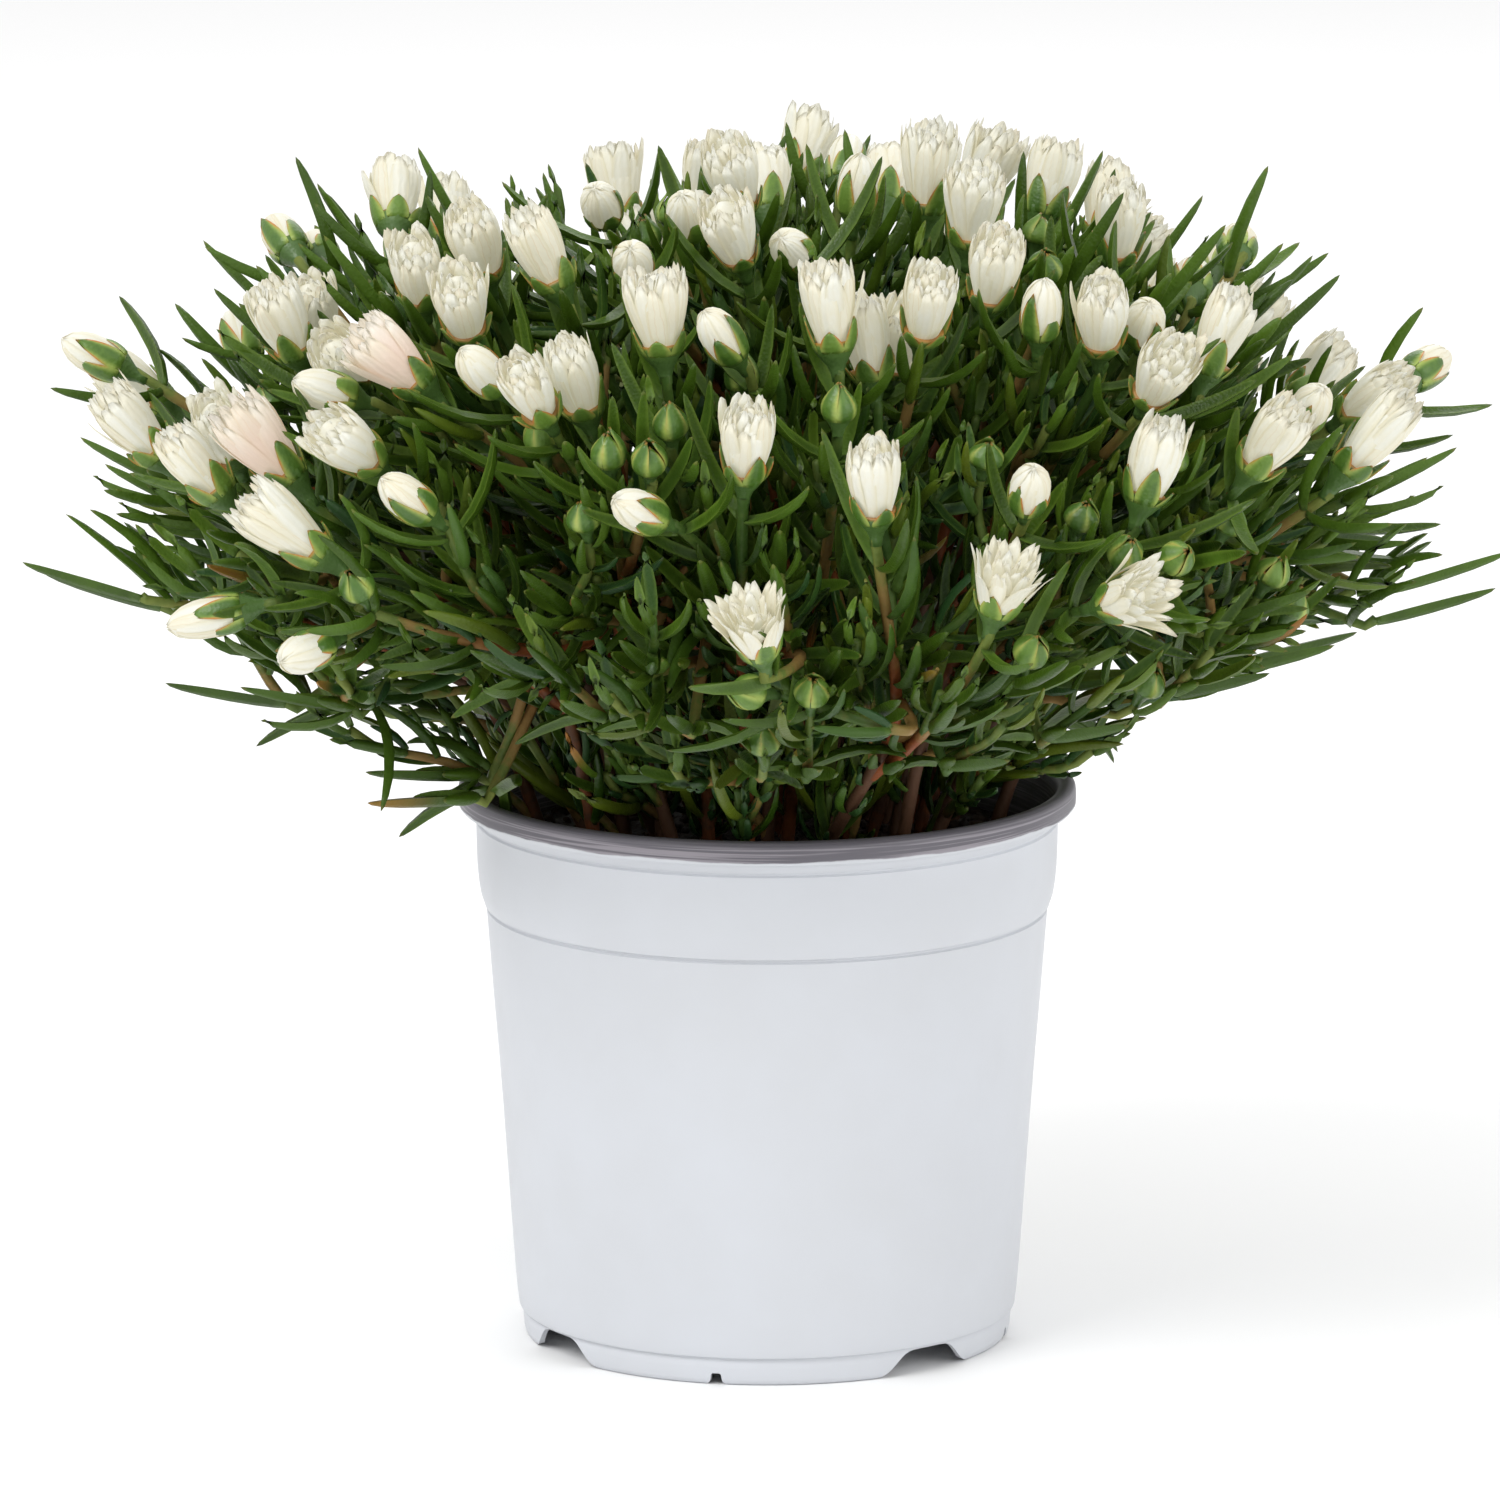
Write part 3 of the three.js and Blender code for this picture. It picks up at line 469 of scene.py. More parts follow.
def gap_between(row: Array, others: Array, limit: float) -> float:
    """The space between two sets of beads, never more than a limit.

    Args:
        row: Beads as rows of centre and radius.
        others: More beads.
        limit: The most that is returned.

    Returns:
        The least space between a bead of one set and one of the other.
    """
    if not len(others):
        return limit
    low = row[:, :3].min(0)
    high = row[:, :3].max(0)
    reach = row[:, 3].max() + others[:, 3].max() + limit
    near = np.all((others[:, :3] > low - reach) & (others[:, :3] < high + reach), axis=1)
    near = others[near]
    if not len(near):
        return limit
    apart = row[:, None, :3] - near[None, :, :3]
    squares = apart[..., 0] ** 2 + apart[..., 1] ** 2 + apart[..., 2] ** 2
    gaps = np.sqrt(squares) - row[:, None, 3] - near[None, :, 3]
    return min(limit, float(gaps.min()))


class PlantLayout:
    """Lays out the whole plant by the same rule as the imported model's source."""

    def __init__(self, pot: PotSizes, sight: Sight, dome: Dome, rule: GrowthRule) -> None:
        """Keeps the sizes and lays the plant out.

        Args:
            pot: The pot's sizes.
            sight: The view of the picture.
            dome: The dome that the blooms' feet lie on.
            rule: The rule's values.
        """
        self.pot = pot
        self.sight = sight
        self.dome = dome
        self.rule = rule
        self.sprays = self.lay_out()

    def beads(self, points: list[Array], radius: Callable[[float], float]) -> Array:
        """Spheres along a line, which stand for a round piece where clearance is measured.

        Args:
            points: The points of the line.
            radius: Gives the piece's radius a share of the way along the line.

        Returns:
            The beads, as rows of centre and radius.
        """
        row = []
        for i, (start, end) in enumerate(zip(points[:-1], points[1:])):
            steps = float(np.linalg.norm(end - start)) / self.rule.bead_spacing
            count = max(1, int(steps + 0.5))
            for k in range(count + 1):
                share = (i + k / count) / (len(points) - 1)
                row.append([*(start + (end - start) * (k / count)), radius(share)])
        return np.array(row)

    def tip_beads(self, tip: Tip) -> Array:
        """The beads of a tip and of the stem just below it.

        Args:
            tip: The tip.

        Returns:
            The beads.
        """
        rule = self.rule
        below = tip.foot - tip.direction * (rule.leaf_from_foot + rule.joint_half)
        sizes = KIND_SIZES[tip.kind]

        def barrel(share: float) -> float:
            """The barrel's radius a share of the way along the tip."""
            start = rule.barrel_start + rule.barrel_widening * share
            close = sizes.blunt + rule.barrel_closing * (1 - share)
            return max(1, sizes.radius * min(1, start, close))

        lower = self.beads([below, tip.foot], lambda _: rule.shoot_radius)
        return np.vstack([lower, self.beads([tip.foot, tip.end], barrel)])

    def gap_to_pot(self, row: Array, limit: float) -> float:
        """The space between some beads and the pot's rim or the soil.

        Args:
            row: The beads.
            limit: The most that is returned.

        Returns:
            The least space.
        """
        pot = self.pot
        lip_middle = (pot.rim_radius + pot.collar_top_radius) / 2
        lip_half = pot.rim_radius - lip_middle
        out = np.hypot(row[:, 0], row[:, 1])
        over = np.maximum(0, row[:, 2] - (pot.height - lip_half))
        rim = np.hypot(out - lip_middle, over) - lip_half - row[:, 3]
        below = np.where(out < lip_middle, row[:, 2] - pot.soil_top(out) - row[:, 3], np.inf)
        return min(limit, float(rim.min()), float(below.min()))

    def is_free(self, row: Array, taken: Array) -> bool:
        """Whether some beads keep clear of the pot, the soil and the beads that are there."""
        clear = self.rule.clear
        return self.gap_to_pot(row, clear) >= clear and gap_between(row, taken, clear) >= clear

    def place_bloom(self, kind: Kind, tip_place: Place, foot_place: Place, depth: float) -> Tip:
        """A bloom in space.

        Args:
            kind: What it is.
            tip_place: Where its tip is in the picture.
            foot_place: Where its foot is in the picture.
            depth: The depth of its foot.

        Returns:
            The bloom.
        """
        foot = self.sight.seen_at(foot_place, depth)
        across = self.sight.seen_at(tip_place, depth) - foot
        length = max(KIND_SIZES[kind].length, float(np.linalg.norm(across)))
        outward = math.sqrt(max(0.0, length**2 - float(across @ across)))
        away = unit(self.sight.line(foot_place)) * (outward if depth > 0 else -outward)
        return Tip(kind, foot, unit(across + away), length, tip_place in PINK_BLOOMS)

    def place_leafy(self, place: Place) -> Tip:
        """A leafy tip in space: its leading leaf points away from the middle of the plant.

        Args:
            place: Where the leading leaf's tip is in the picture.

        Returns:
            The leafy tip.
        """
        tip = self.sight.seen_at(place, self.dome.depth(self.sight, place))
        length = KIND_SIZES[Kind.LEAFY].length
        direction = unit(tip - UP * self.pot.height)
        return Tip(Kind.LEAFY, tip - direction * length, direction, length)

    def all_tips(self) -> list[Tip]:
        """All tips, kept clear of each other, with the rear a thinned copy of the front."""
        rule = self.rule
        tips: list[Tip] = []
        taken = np.empty((0, 4))

        def keep(tip: Tip) -> bool:
            """Keeps a tip if it is clear of the earlier ones.

            Args:
                tip: The tip.

            Returns:
                Whether it was kept.
            """
            nonlocal taken
            row = self.tip_beads(tip)
            free = self.is_free(row, taken)
            if free:
                tips.append(tip)
                taken = np.vstack([taken, row])
            return free

        for kind, tip_place, foot_place in FRONT_BLOOMS:
            depth = self.dome.depth(self.sight, foot_place)
            steps = (depth + k * rule.step_back for k in range(rule.steps_back))
            any(keep(self.place_bloom(kind, tip_place, foot_place, step)) for step in steps)
        in_front = [tip for tip in tips if tip.foot[1] < -rule.rear_from]
        leafy = [tip for tip in map(self.place_leafy, FRONT_LEAFY) if keep(tip)]
        for i, tip in enumerate(in_front):
            if (i + 1) % rule.rear_thinning:
                keep(tip.turned_round())
        for tip in leafy:
            keep(tip.turned_round())
        return tips

    def group_tips(self, tips: list[Tip]) -> list[Spray]:
        """Shares the tips out: neighbours on one of the three circles have a stem and a root.

        Args:
            tips: All the tips.

        Returns:
            The sprays, as yet without stems.
        """
        rule = self.rule
        circles: list[list[Tip]] = [[] for _ in rule.root_circles]
        for tip in tips:
            out = math.hypot(tip.foot[0], tip.foot[1])
            circles[sum(out > edge for edge in rule.circle_edges)].append(tip)
        sprays = []
        for circle, members in enumerate(circles):
            members.sort(key=lambda tip: bearing(tip.foot))
            count = math.ceil(len(members) / rule.tips_in_a_spray)
            cuts = [int(n * len(members) / count + 0.5) for n in range(count + 1)]
            for k in range(count):
                own = members[cuts[k] : cuts[k + 1]]
                around = bearing(sum(tip.foot for tip in own))
                out = rule.root_circles[circle] + rule.root_stagger * (1 if k % 2 else -1)
                height = self.pot.soil_top(out)
                root = np.array([out * math.sin(around), -out * math.cos(around), height])
                own.sort(key=lambda tip: -float(np.linalg.norm(tip.foot - root)))
                outer = circle == len(circles) - 1
                sprays.append(Spray(len(sprays) + 1, root, own, outer))
        return sprays

    def stem_curve(self, start: Array, leave: Array, tip: Tip, bow: Array) -> list[Array]:
        """A cubic curve from a start to a tip's foot, which may bow to one side."""
        rule = self.rule
        hold = min(rule.hold * float(np.linalg.norm(tip.foot - start)), rule.longest_hold)
        return [start, start + leave * hold + bow, tip.foot - tip.direction * hold + bow, tip.foot]

    def stem_beads(self, stem: Stem) -> Array:
        """The beads of a stem."""
        start, end = stem.radii
        return self.beads(stem.line, lambda share: start + (end - start) * share)

    def clear_stem(
        self, start: Array, leave: Array, tip: Tip, shares: list[float], radii: tuple[float, float],
        taken: Array,
    ) -> Stem:
        """The stem whose line keeps furthest from what is there, out of several bows.

        Args:
            start: Where the stem starts.
            leave: The direction that it starts in.
            tip: The tip that it ends in.
            shares: Where along its curve the points of its line stand.
            radii: Its radii at the start and the end.
            taken: The beads that it keeps clear of.

        Returns:
            The stem.
        """
        rule = self.rule
        best = None
        widest = -math.inf
        for k in range(rule.stem_tries):
            turn = GOLDEN_ANGLE * k
            size = rule.bow * k / rule.stem_tries
            lift = size * ((GOLDEN_SHARE * k) % 1 - 0.5)
            bow = np.array([size * math.cos(turn), size * math.sin(turn), lift])
            curve = self.stem_curve(start, leave, tip, bow)
            last = tip.foot - tip.direction * rule.leaf_from_foot
            stem = Stem([*(cubic(curve, share) for share in shares), last, tip.foot], tip, radii)
            row = self.stem_beads(stem)
            wanted = 2 * rule.clear
            gap = min(gap_between(row, taken, wanted), self.gap_to_pot(row, wanted))
            if gap > widest:
                widest = gap
                best = stem
            if gap >= wanted:
                break
        return best

    def grow_stems(self, spray: Spray, taken: Array) -> list[Stem]:
        """The main stem of a spray and the shoots that fork off it.

        Args:
            spray: The spray.
            taken: The beads that they keep clear of.

        Returns:
            The stems, the main one first.
        """
        rule = self.rule
        neck = spray.root + UP * rule.neck
        first, *others = spray.tips
        spread = (rule.fork_to - rule.fork_from) / (len(others) + 1)
        shares = [0, *(rule.fork_from + spread * (i + 1) for i in range(len(others)))]
        shares = shares if others else [0, 0.5]
        radii = (rule.main_radius, rule.shoot_radius)
        main = self.clear_stem(neck, UP, first, shares, radii, taken)
        main.joints = list(range(1, len(main.line) - 1))
        stems = [main]
        for i, tip in enumerate(others):
            start = main.line[i + 1]
            leave = unit(main.direction_at(i + 1) + unit(tip.foot - start))
            radii = (rule.shoot_radius, rule.shoot_radius)
            shoot = self.clear_stem(start, leave, tip, [0, 0.5], radii, taken)
            shoot.joints = [1, 2] if spray.outer and i == 0 else [2]
            stems.append(shoot)
        return stems

    def place_leaf(
        self, joint: Array, direction: Array, outward: Array, length: float, spread: float
    ) -> Leaf:
        """A leaf at a joint, which bends a little towards its stem.

        Args:
            joint: The point of the stem that it grows from.
            direction: The stem's direction there.
            outward: The direction square to it, to which the leaf leans out.
            length: How long the leaf is.
            spread: How far it leans out.

        Returns:
            The leaf.
        """
        rule = self.rule

        def lean(angle: float) -> Array:
            """A direction that leans outward from the stem's by an angle."""
            return direction * math.cos(angle) + outward * math.sin(angle)

        root = joint + outward * rule.leaf_root_out
        knee = root + lean(spread) * (rule.leaf_knee * length)
        tip = knee + lean(spread - rule.leaf_bend) * ((1 - rule.leaf_knee) * length)
        return Leaf(root, knee, tip, direction, rule.leaf_radius)

    def leaf_beads(self, leaf: Leaf) -> Array:
        """The beads of a leaf past its root, which lies in the stem.

        Args:
            leaf: The leaf.

        Returns:
            The beads.
        """
        rule = self.rule

        def radius(share: float) -> float:
            """The leaf's radius a share of the way along it."""
            return leaf.radius * min(1, rule.leaf_point + rule.leaf_taper * (1 - share))

        return self.beads([leaf.root, leaf.knee, leaf.tip], radius)[rule.beads_in_stem :]

    def grow_pair(self, stem: Stem, at: int, taken: Array, row_of: SeededRow) -> list[Leaf]:
        """A pair of leaves at a joint, each turned a little, or left out, if it would touch.

        Args:
            stem: The stem.
            at: Which point of its line the joint is.
            taken: The beads that the leaves keep clear of.
            row_of: The spray's random row.

        Returns:
            The leaves that have room.
        """
        rule = self.rule
        direction = stem.direction_at(at)
        first, second = square_to(direction, NEARLY_UP)
        start = math.pi * row_of.draw()
        stem.turn = start
        pair = []
        for side in (0, math.pi):
            low, high = rule.leaf_lengths
            length = low + (high - low) * row_of.draw()
            for tried in range(rule.leaf_tries):
                outward = round_axis(first, second, start + side + tried * rule.leaf_turn)
                spread = rule.leaf_spread - rule.leaf_closing * tried
                leaf = self.place_leaf(stem.line[at], direction, outward, length, spread)
                if self.is_free(self.leaf_beads(leaf), taken) and abs(leaf.tip[1]) < rule.leaf_reach:
                    pair.append(leaf)
                    break
        return pair

    def grow_leaves(self, spray: Spray, taken: Array, row_of: SeededRow) -> Array:
        """Grows the main leaves of a spray.

        Args:
            spray: The spray.
            taken: The beads that the leaves keep clear of.
            row_of: The spray's random row.

        Returns:
            The leaves' beads.
        """
        own = np.empty((0, 4))
        for k, stem in enumerate(spray.stems):
            others = [other for other in spray.stems if other is not stem]
            near = [row for other in others for row in (self.stem_beads(other), self.tip_beads(other.tip))]
            for at in stem.joints[-1:] if k == 0 else stem.joints:
                leaves = self.grow_pair(stem, at, np.vstack([taken, *near, own]), row_of)
                own = np.vstack([own, *map(self.leaf_beads, leaves)])
                stem.pairs[at] = leaves
        return own

    def lay_out(self) -> list[Spray]:
        """Sprays with their stems and main leaves, all clear of each other."""
        sprays = self.group_tips(self.all_tips())
        rows = [np.vstack([self.tip_beads(tip) for tip in spray.tips]) for spray in sprays]

        def rows_but(i: int) -> Array:
            """The beads of all sprays but one."""
            return np.vstack([row for k, row in enumerate(rows) if k != i])

        for i, spray in enumerate(sprays):
            spray.stems = self.grow_stems(spray, rows_but(i))
            rows[i] = np.vstack([rows[i], *map(self.stem_beads, spray.stems)])
        for i, spray in enumerate(sprays):
            rows[i] = np.vstack([rows[i], self.grow_leaves(spray, rows_but(i), SeededRow(i + 1))])
        return sprays


class Lofts:
    """Closed bodies, each drawn through a row of rings, that make one mesh together."""

    # A corner lies on a margin where its own value is above this
    ON_MARGIN = 0.9

    def __init__(self) -> None:
        """Starts with no bodies."""
        self.points: list[Array] = []
        self.quads: list[Array] = []
        self.triangles: list[Array] = []
        self.values: dict[str, list[Array]] = {}
        self.count = 0

    def add(self, rings: Array, start: Array, end: Array, **values: Array) -> None:
        """Adds bodies that are alike.

        Args:
            rings: The corners, by body, ring, corner and axis. A ring runs anticlockwise
                when it is seen from the body's end.
            start: The point that closes each body's first ring.
            end: The point that closes each body's last ring.
            values: Numbers to keep at the corners, which spread over bodies, rings and corners.
        """
        bodies, count, sides, _ = rings.shape
        flat = rings.reshape(bodies, count * sides, 3)
        self.points.append(np.concatenate([flat, start[:, None], end[:, None]], 1).reshape(-1, 3))
        first = self.count + np.arange(bodies)[:, None, None] * (count * sides + 2)
        ring = np.arange(count - 1)[None, :, None] * sides
        corner = np.arange(sides)[None, None, :]
        after = (corner + 1) % sides
        low, low_next = first + ring + corner, first + ring + after
        quads = np.stack([low, low_next, low_next + sides, low + sides], -1)
        self.quads.append(quads.reshape(-1, 4))
        first = first[:, 0]
        corner, after = corner[0], after[0]
        start_at = np.broadcast_to(first + count * sides, (bodies, sides))
        last = first + (count - 1) * sides
        self.triangles.append(np.stack([start_at, first + after, first + corner], -1).reshape(-1, 3))
        self.triangles.append(np.stack([start_at + 1, last + corner, last + after], -1).reshape(-1, 3))
        for name, value in values.items():
            full = np.broadcast_to(value, (bodies, count, sides))
            ends = [full.reshape(bodies, -1), full[:, 0].mean(1)[:, None], full[:, -1].mean(1)[:, None]]
            self.values.setdefault(name, []).append(np.concatenate(ends, 1).ravel())
        self.count += bodies * (count * sides + 2)

    def piece(self, name: str, material: Material) -> Object:
        """Makes one object of all the bodies, in metres.

        Args:
            name: Its name.
            material: Its material.

        Returns:
            The object.
        """
        mesh = bpy.data.meshes.new(name)
        points = np.vstack(self.points) * MILLIMETRE
        quads = np.vstack(self.quads)
        triangles = np.vstack(self.triangles)
        corners = np.concatenate([quads.ravel(), triangles.ravel()])
        starts = np.concatenate([np.arange(len(quads)) * 4, len(quads) * 4 + np.arange(len(triangles)) * 3])
        mesh.vertices.add(len(points))
        mesh.vertices.foreach_set("co", points.astype(np.float32).ravel())
        mesh.loops.add(len(corners))
        mesh.loops.foreach_set("vertex_index", corners.astype(np.int32))
        mesh.polygons.add(len(starts))
        mesh.polygons.foreach_set("loop_start", starts.astype(np.int32))
        for key, parts in self.values.items():
            attribute = mesh.attributes.new(key, "FLOAT", "POINT")
            attribute.data.foreach_set("value", np.concatenate(parts).astype(np.float32))
        mesh.update()
        mesh.validate()
        mesh.shade_smooth()
        self.sharpen(mesh)
        mesh.materials.append(material)
        made = bpy.data.objects.new(name, mesh)
        bpy.context.scene.collection.objects.link(made)
        return made

    def sharpen(self, mesh: Mesh) -> None:
        """Makes the edges that run along a margin sharp, where the bodies have one.

        Args:
            mesh: The mesh, with its values.
        """
        if "margin" not in self.values:
            return
        margin = np.concatenate(self.values["margin"]) > self.ON_MARGIN
        ends = np.empty(2 * len(mesh.edges), np.int32)
        mesh.edges.foreach_get("vertices", ends)
        sharp = margin[ends.reshape(-1, 2)].all(1)
        mesh.attributes.new("sharp_edge", "BOOLEAN", "EDGE").data.foreach_set("value", sharp)
        mesh.attributes.remove(mesh.attributes["margin"])


def dressed(made: Object, nodes: list[str] | None = None) -> Object:
    """Ties a piece to the frame.

    Args:
        made: The piece.
        nodes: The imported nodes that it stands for.

    Returns:
        The piece.
    """
    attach(made, "root")
    if nodes:
        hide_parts(*nodes)
    LOG.info("%s: %d faces", made.name, len(made.data.polygons))
    return made


class LeafShape:
    """Turns leaves into fleshy bodies with a shallow upper side, two margins and a keel."""

    ROWS = np.array([0, 0.1, 0.28, 0.5, 0.72, 0.88, 0.965])
    WIDTHS = np.array([0.78, 0.9, 1.0, 1.0, 0.88, 0.64, 0.34])
    # Corners of the section, by how far to the side and how far up, in the leaf's half width
    SECTION = np.array([[1.0, 0.3], [0.0, 0.16], [-1.0, 0.3], [-0.66, -0.5], [0, -0.98], [0.66, -0.5]])
    # The upper side lies above this height of the section, up to its margins
    UPPER_SIDE = 0.25
    OWN_VALUES = ("blush", "youth", "hue")

    def add(self, lofts: Lofts, leaves: list[Leaf], random: np.random.Generator) -> None:
        """Adds the leaves' bodies to a mesh.

        Args:
            lofts: The mesh.
            leaves: The leaves.
            random: Where each leaf's tone is drawn from.
        """
        root, knee, tip, upper = (
            np.array([getattr(leaf, part) for leaf in leaves]) for part in ("root", "knee", "tip", "upper")
        )
        radius = np.array([leaf.radius for leaf in leaves])
        bend = 2 * knee - 0.5 * (root + tip)
        t = self.ROWS[None, :, None]
        line = (1 - t) ** 2 * root[:, None] + 2 * t * (1 - t) * bend[:, None] + t**2 * tip[:, None]
        along = unit(2 * (1 - t) * (bend - root)[:, None] + 2 * t * (tip - bend)[:, None])
        over, _ = square_to(along, np.broadcast_to(upper[:, None], along.shape))
        side = np.cross(over, along)
        wide = (radius[:, None] * self.WIDTHS[None])[..., None, None]
        section = self.SECTION[None, None]
        rings = line[:, :, None] + wide * (
            side[:, :, None] * section[..., 0:1] + over[:, :, None] * section[..., 1:2]
        )
        face = self.SECTION[None, None, :, 1]
        values = {name: np.array([getattr(leaf, name) for leaf in leaves]) for name in self.OWN_VALUES}
        values["tone"] = random.random(len(leaves))
        values = {name: value[:, None, None] for name, value in values.items()}
        margin = face > self.UPPER_SIDE
        lofts.add(rings, root, tip, along=self.ROWS[None, :, None], face=face, margin=margin, **values)


@dataclass(frozen=True)
class SheetProfile:
    """The line that petals or sepals of one layer follow, and their own shape.

    Heights and radii are along and round the bloom's axis. Half widths and thicknesses are
    given at the same rows, from the foot to the tip. The curl is how far the edges roll in,
    as a share of the half width.
    """

    heights: tuple[float, ...]
    radii: tuple[float, ...]
    widths: tuple[float, ...]
    thickness: tuple[float, ...] = (0.3, 0.28, 0.26, 0.24, 0.22, 0.2, 0.12)
    curl: float = 0.02
    least_radius: float = 2.2


@dataclass(frozen=True)
class PetalPlan:
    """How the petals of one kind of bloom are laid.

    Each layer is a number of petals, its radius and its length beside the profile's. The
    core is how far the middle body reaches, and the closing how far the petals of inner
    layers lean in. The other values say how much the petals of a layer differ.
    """

    profile: SheetProfile
    layers: tuple[tuple[int, float, float], ...]
    core: float
    closing: float
    uneven: float
    shorter: float
    opening: tuple[float, float]
    lean: tuple[float, float]
    swing: tuple[float, float]
    lap: float
    notch: float
    stray: float = 0.0
    slimmest: float = 1.0


PETAL_PLANS = {
    Kind.FLOWER: PetalPlan(
        profile=SheetProfile(
            heights=(3.2, 6.2, 9.2, 12.3, 15.4, 18.5, 21.5), radii=(2.9, 3.85, 4.75, 5.55, 6.1, 6.25, 5.8),
            widths=(1.3, 1.7, 2.0, 2.15, 2.1, 1.65, 0.8),
        ),
        layers=((13, 1.0, 0.97), (12, 0.93, 1.02), (10, 0.81, 1.03), (8, 0.62, 1.02), (6, 0.38, 1.0)),
        core=0.88, closing=1.3, uneven=0.35, shorter=0.17, opening=(-1.1, 1.3), lean=(0.0, 0.2),
        swing=(0.04, 0.07), lap=0.1, notch=0.06, stray=0.06, slimmest=0.86,
    ),
    Kind.OPEN: PetalPlan(
        profile=SheetProfile(
            heights=(3.4, 5.8, 8.4, 11.0, 13.6, 16.2, 18.4), radii=(3.3, 4.3, 5.1, 5.8, 6.3, 6.9, 7.6),
            widths=(1.2, 1.6, 1.85, 1.95, 1.75, 1.2, 0.35),
        ),
        layers=((13, 1.0, 0.92), (13, 0.84, 1.0), (11, 0.66, 0.99), (9, 0.46, 0.94), (6, 0.25, 0.88)),
        core=0.62, closing=0.2, uneven=0.5, shorter=0.22, opening=(0.4, 0.6), lean=(0.3, 1.1),
        swing=(0.0, 0.14), lap=0.1, notch=0.07, stray=0.1,
    ),
    Kind.BUD: PetalPlan(
        profile=SheetProfile(
            heights=(3.6, 6.4, 9.2, 11.8, 14.0, 15.8, 16.9), radii=(3.2, 4.0, 4.2, 4.0, 3.3, 2.1, 0.35),
            widths=(1.3, 1.75, 1.95, 1.85, 1.5, 1.05, 0.45), curl=0.04,
        ),
        layers=((11, 1.0, 1.0), (7, 0.85, 1.0)), core=0.97, closing=0.0, uneven=0.15, shorter=0.05,
        opening=(0.0, 0.0), lean=(0.0, 0.06), swing=(0.22, 0.03), lap=0.16, notch=0.03,
    ),
}

FLOWER_SEPALS = SheetProfile(
    heights=(3.4, 4.5, 5.7, 7.0, 8.4, 9.8, 11.4), radii=(3.95, 4.45, 4.85, 5.15, 5.4, 5.6, 5.75),
    widths=(2.3, 2.65, 2.7, 2.45, 1.95, 1.25, 0.4), thickness=(1.2, 1.25, 1.15, 1.0, 0.8, 0.6, 0.3),
    curl=0.06,
)
BUD_SEPALS = SheetProfile(
    heights=(3.4, 4.9, 6.5, 8.2, 10.1, 12.0, 14.2), radii=(3.7, 4.15, 4.4, 4.55, 4.5, 4.2, 3.6),
    widths=(2.2, 2.5, 2.55, 2.3, 1.8, 1.15, 0.35), thickness=(1.2, 1.25, 1.15, 1.0, 0.8, 0.6, 0.3),
    curl=0.06,
)
GREEN_SEPALS = SheetProfile(
    heights=(2.8, 4.0, 5.3, 6.6, 7.8, 8.9, 10.0), radii=(3.2, 3.75, 3.8, 3.35, 2.45, 1.4, 0.6),
    widths=(2.05, 2.45, 2.5, 2.25, 1.75, 1.1, 0.35), thickness=(0.9, 1.1, 1.1, 1.0, 0.9, 0.7, 0.3),
    curl=0.05, least_radius=0.9,
)


@dataclass(frozen=True)
class CupSizes:
    """The funnel under a bloom: rows of height and radius, and its five sepals."""

    heights: tuple[float, ...] = (-2.6, -1.0, 0.6, 2.2, 3.6, 4.8, 5.6)
    radii: tuple[float, ...] = (1.3, 1.4, 1.95, 3.1, 4.0, 4.45, 4.2)
    sides: int = 15
    lobes: float = 0.05
    hollow: float = 1.2
    size: float = 1.0
    sepals: SheetProfile = FLOWER_SEPALS
    lengths: tuple[float, ...] = (1.0, 0.86, 0.6, 0.55, 0.66)


CUPS = {
    Kind.FLOWER: CupSizes(), Kind.OPEN: CupSizes(),
    Kind.BUD: CupSizes(size=0.88, sepals=BUD_SEPALS, lengths=(1.0, 0.84, 0.68, 0.62, 0.74)),
    Kind.GREEN: CupSizes(size=0.8, sepals=GREEN_SEPALS, lengths=(1.12, 1.0, 0.98, 0.96, 0.98)),
}


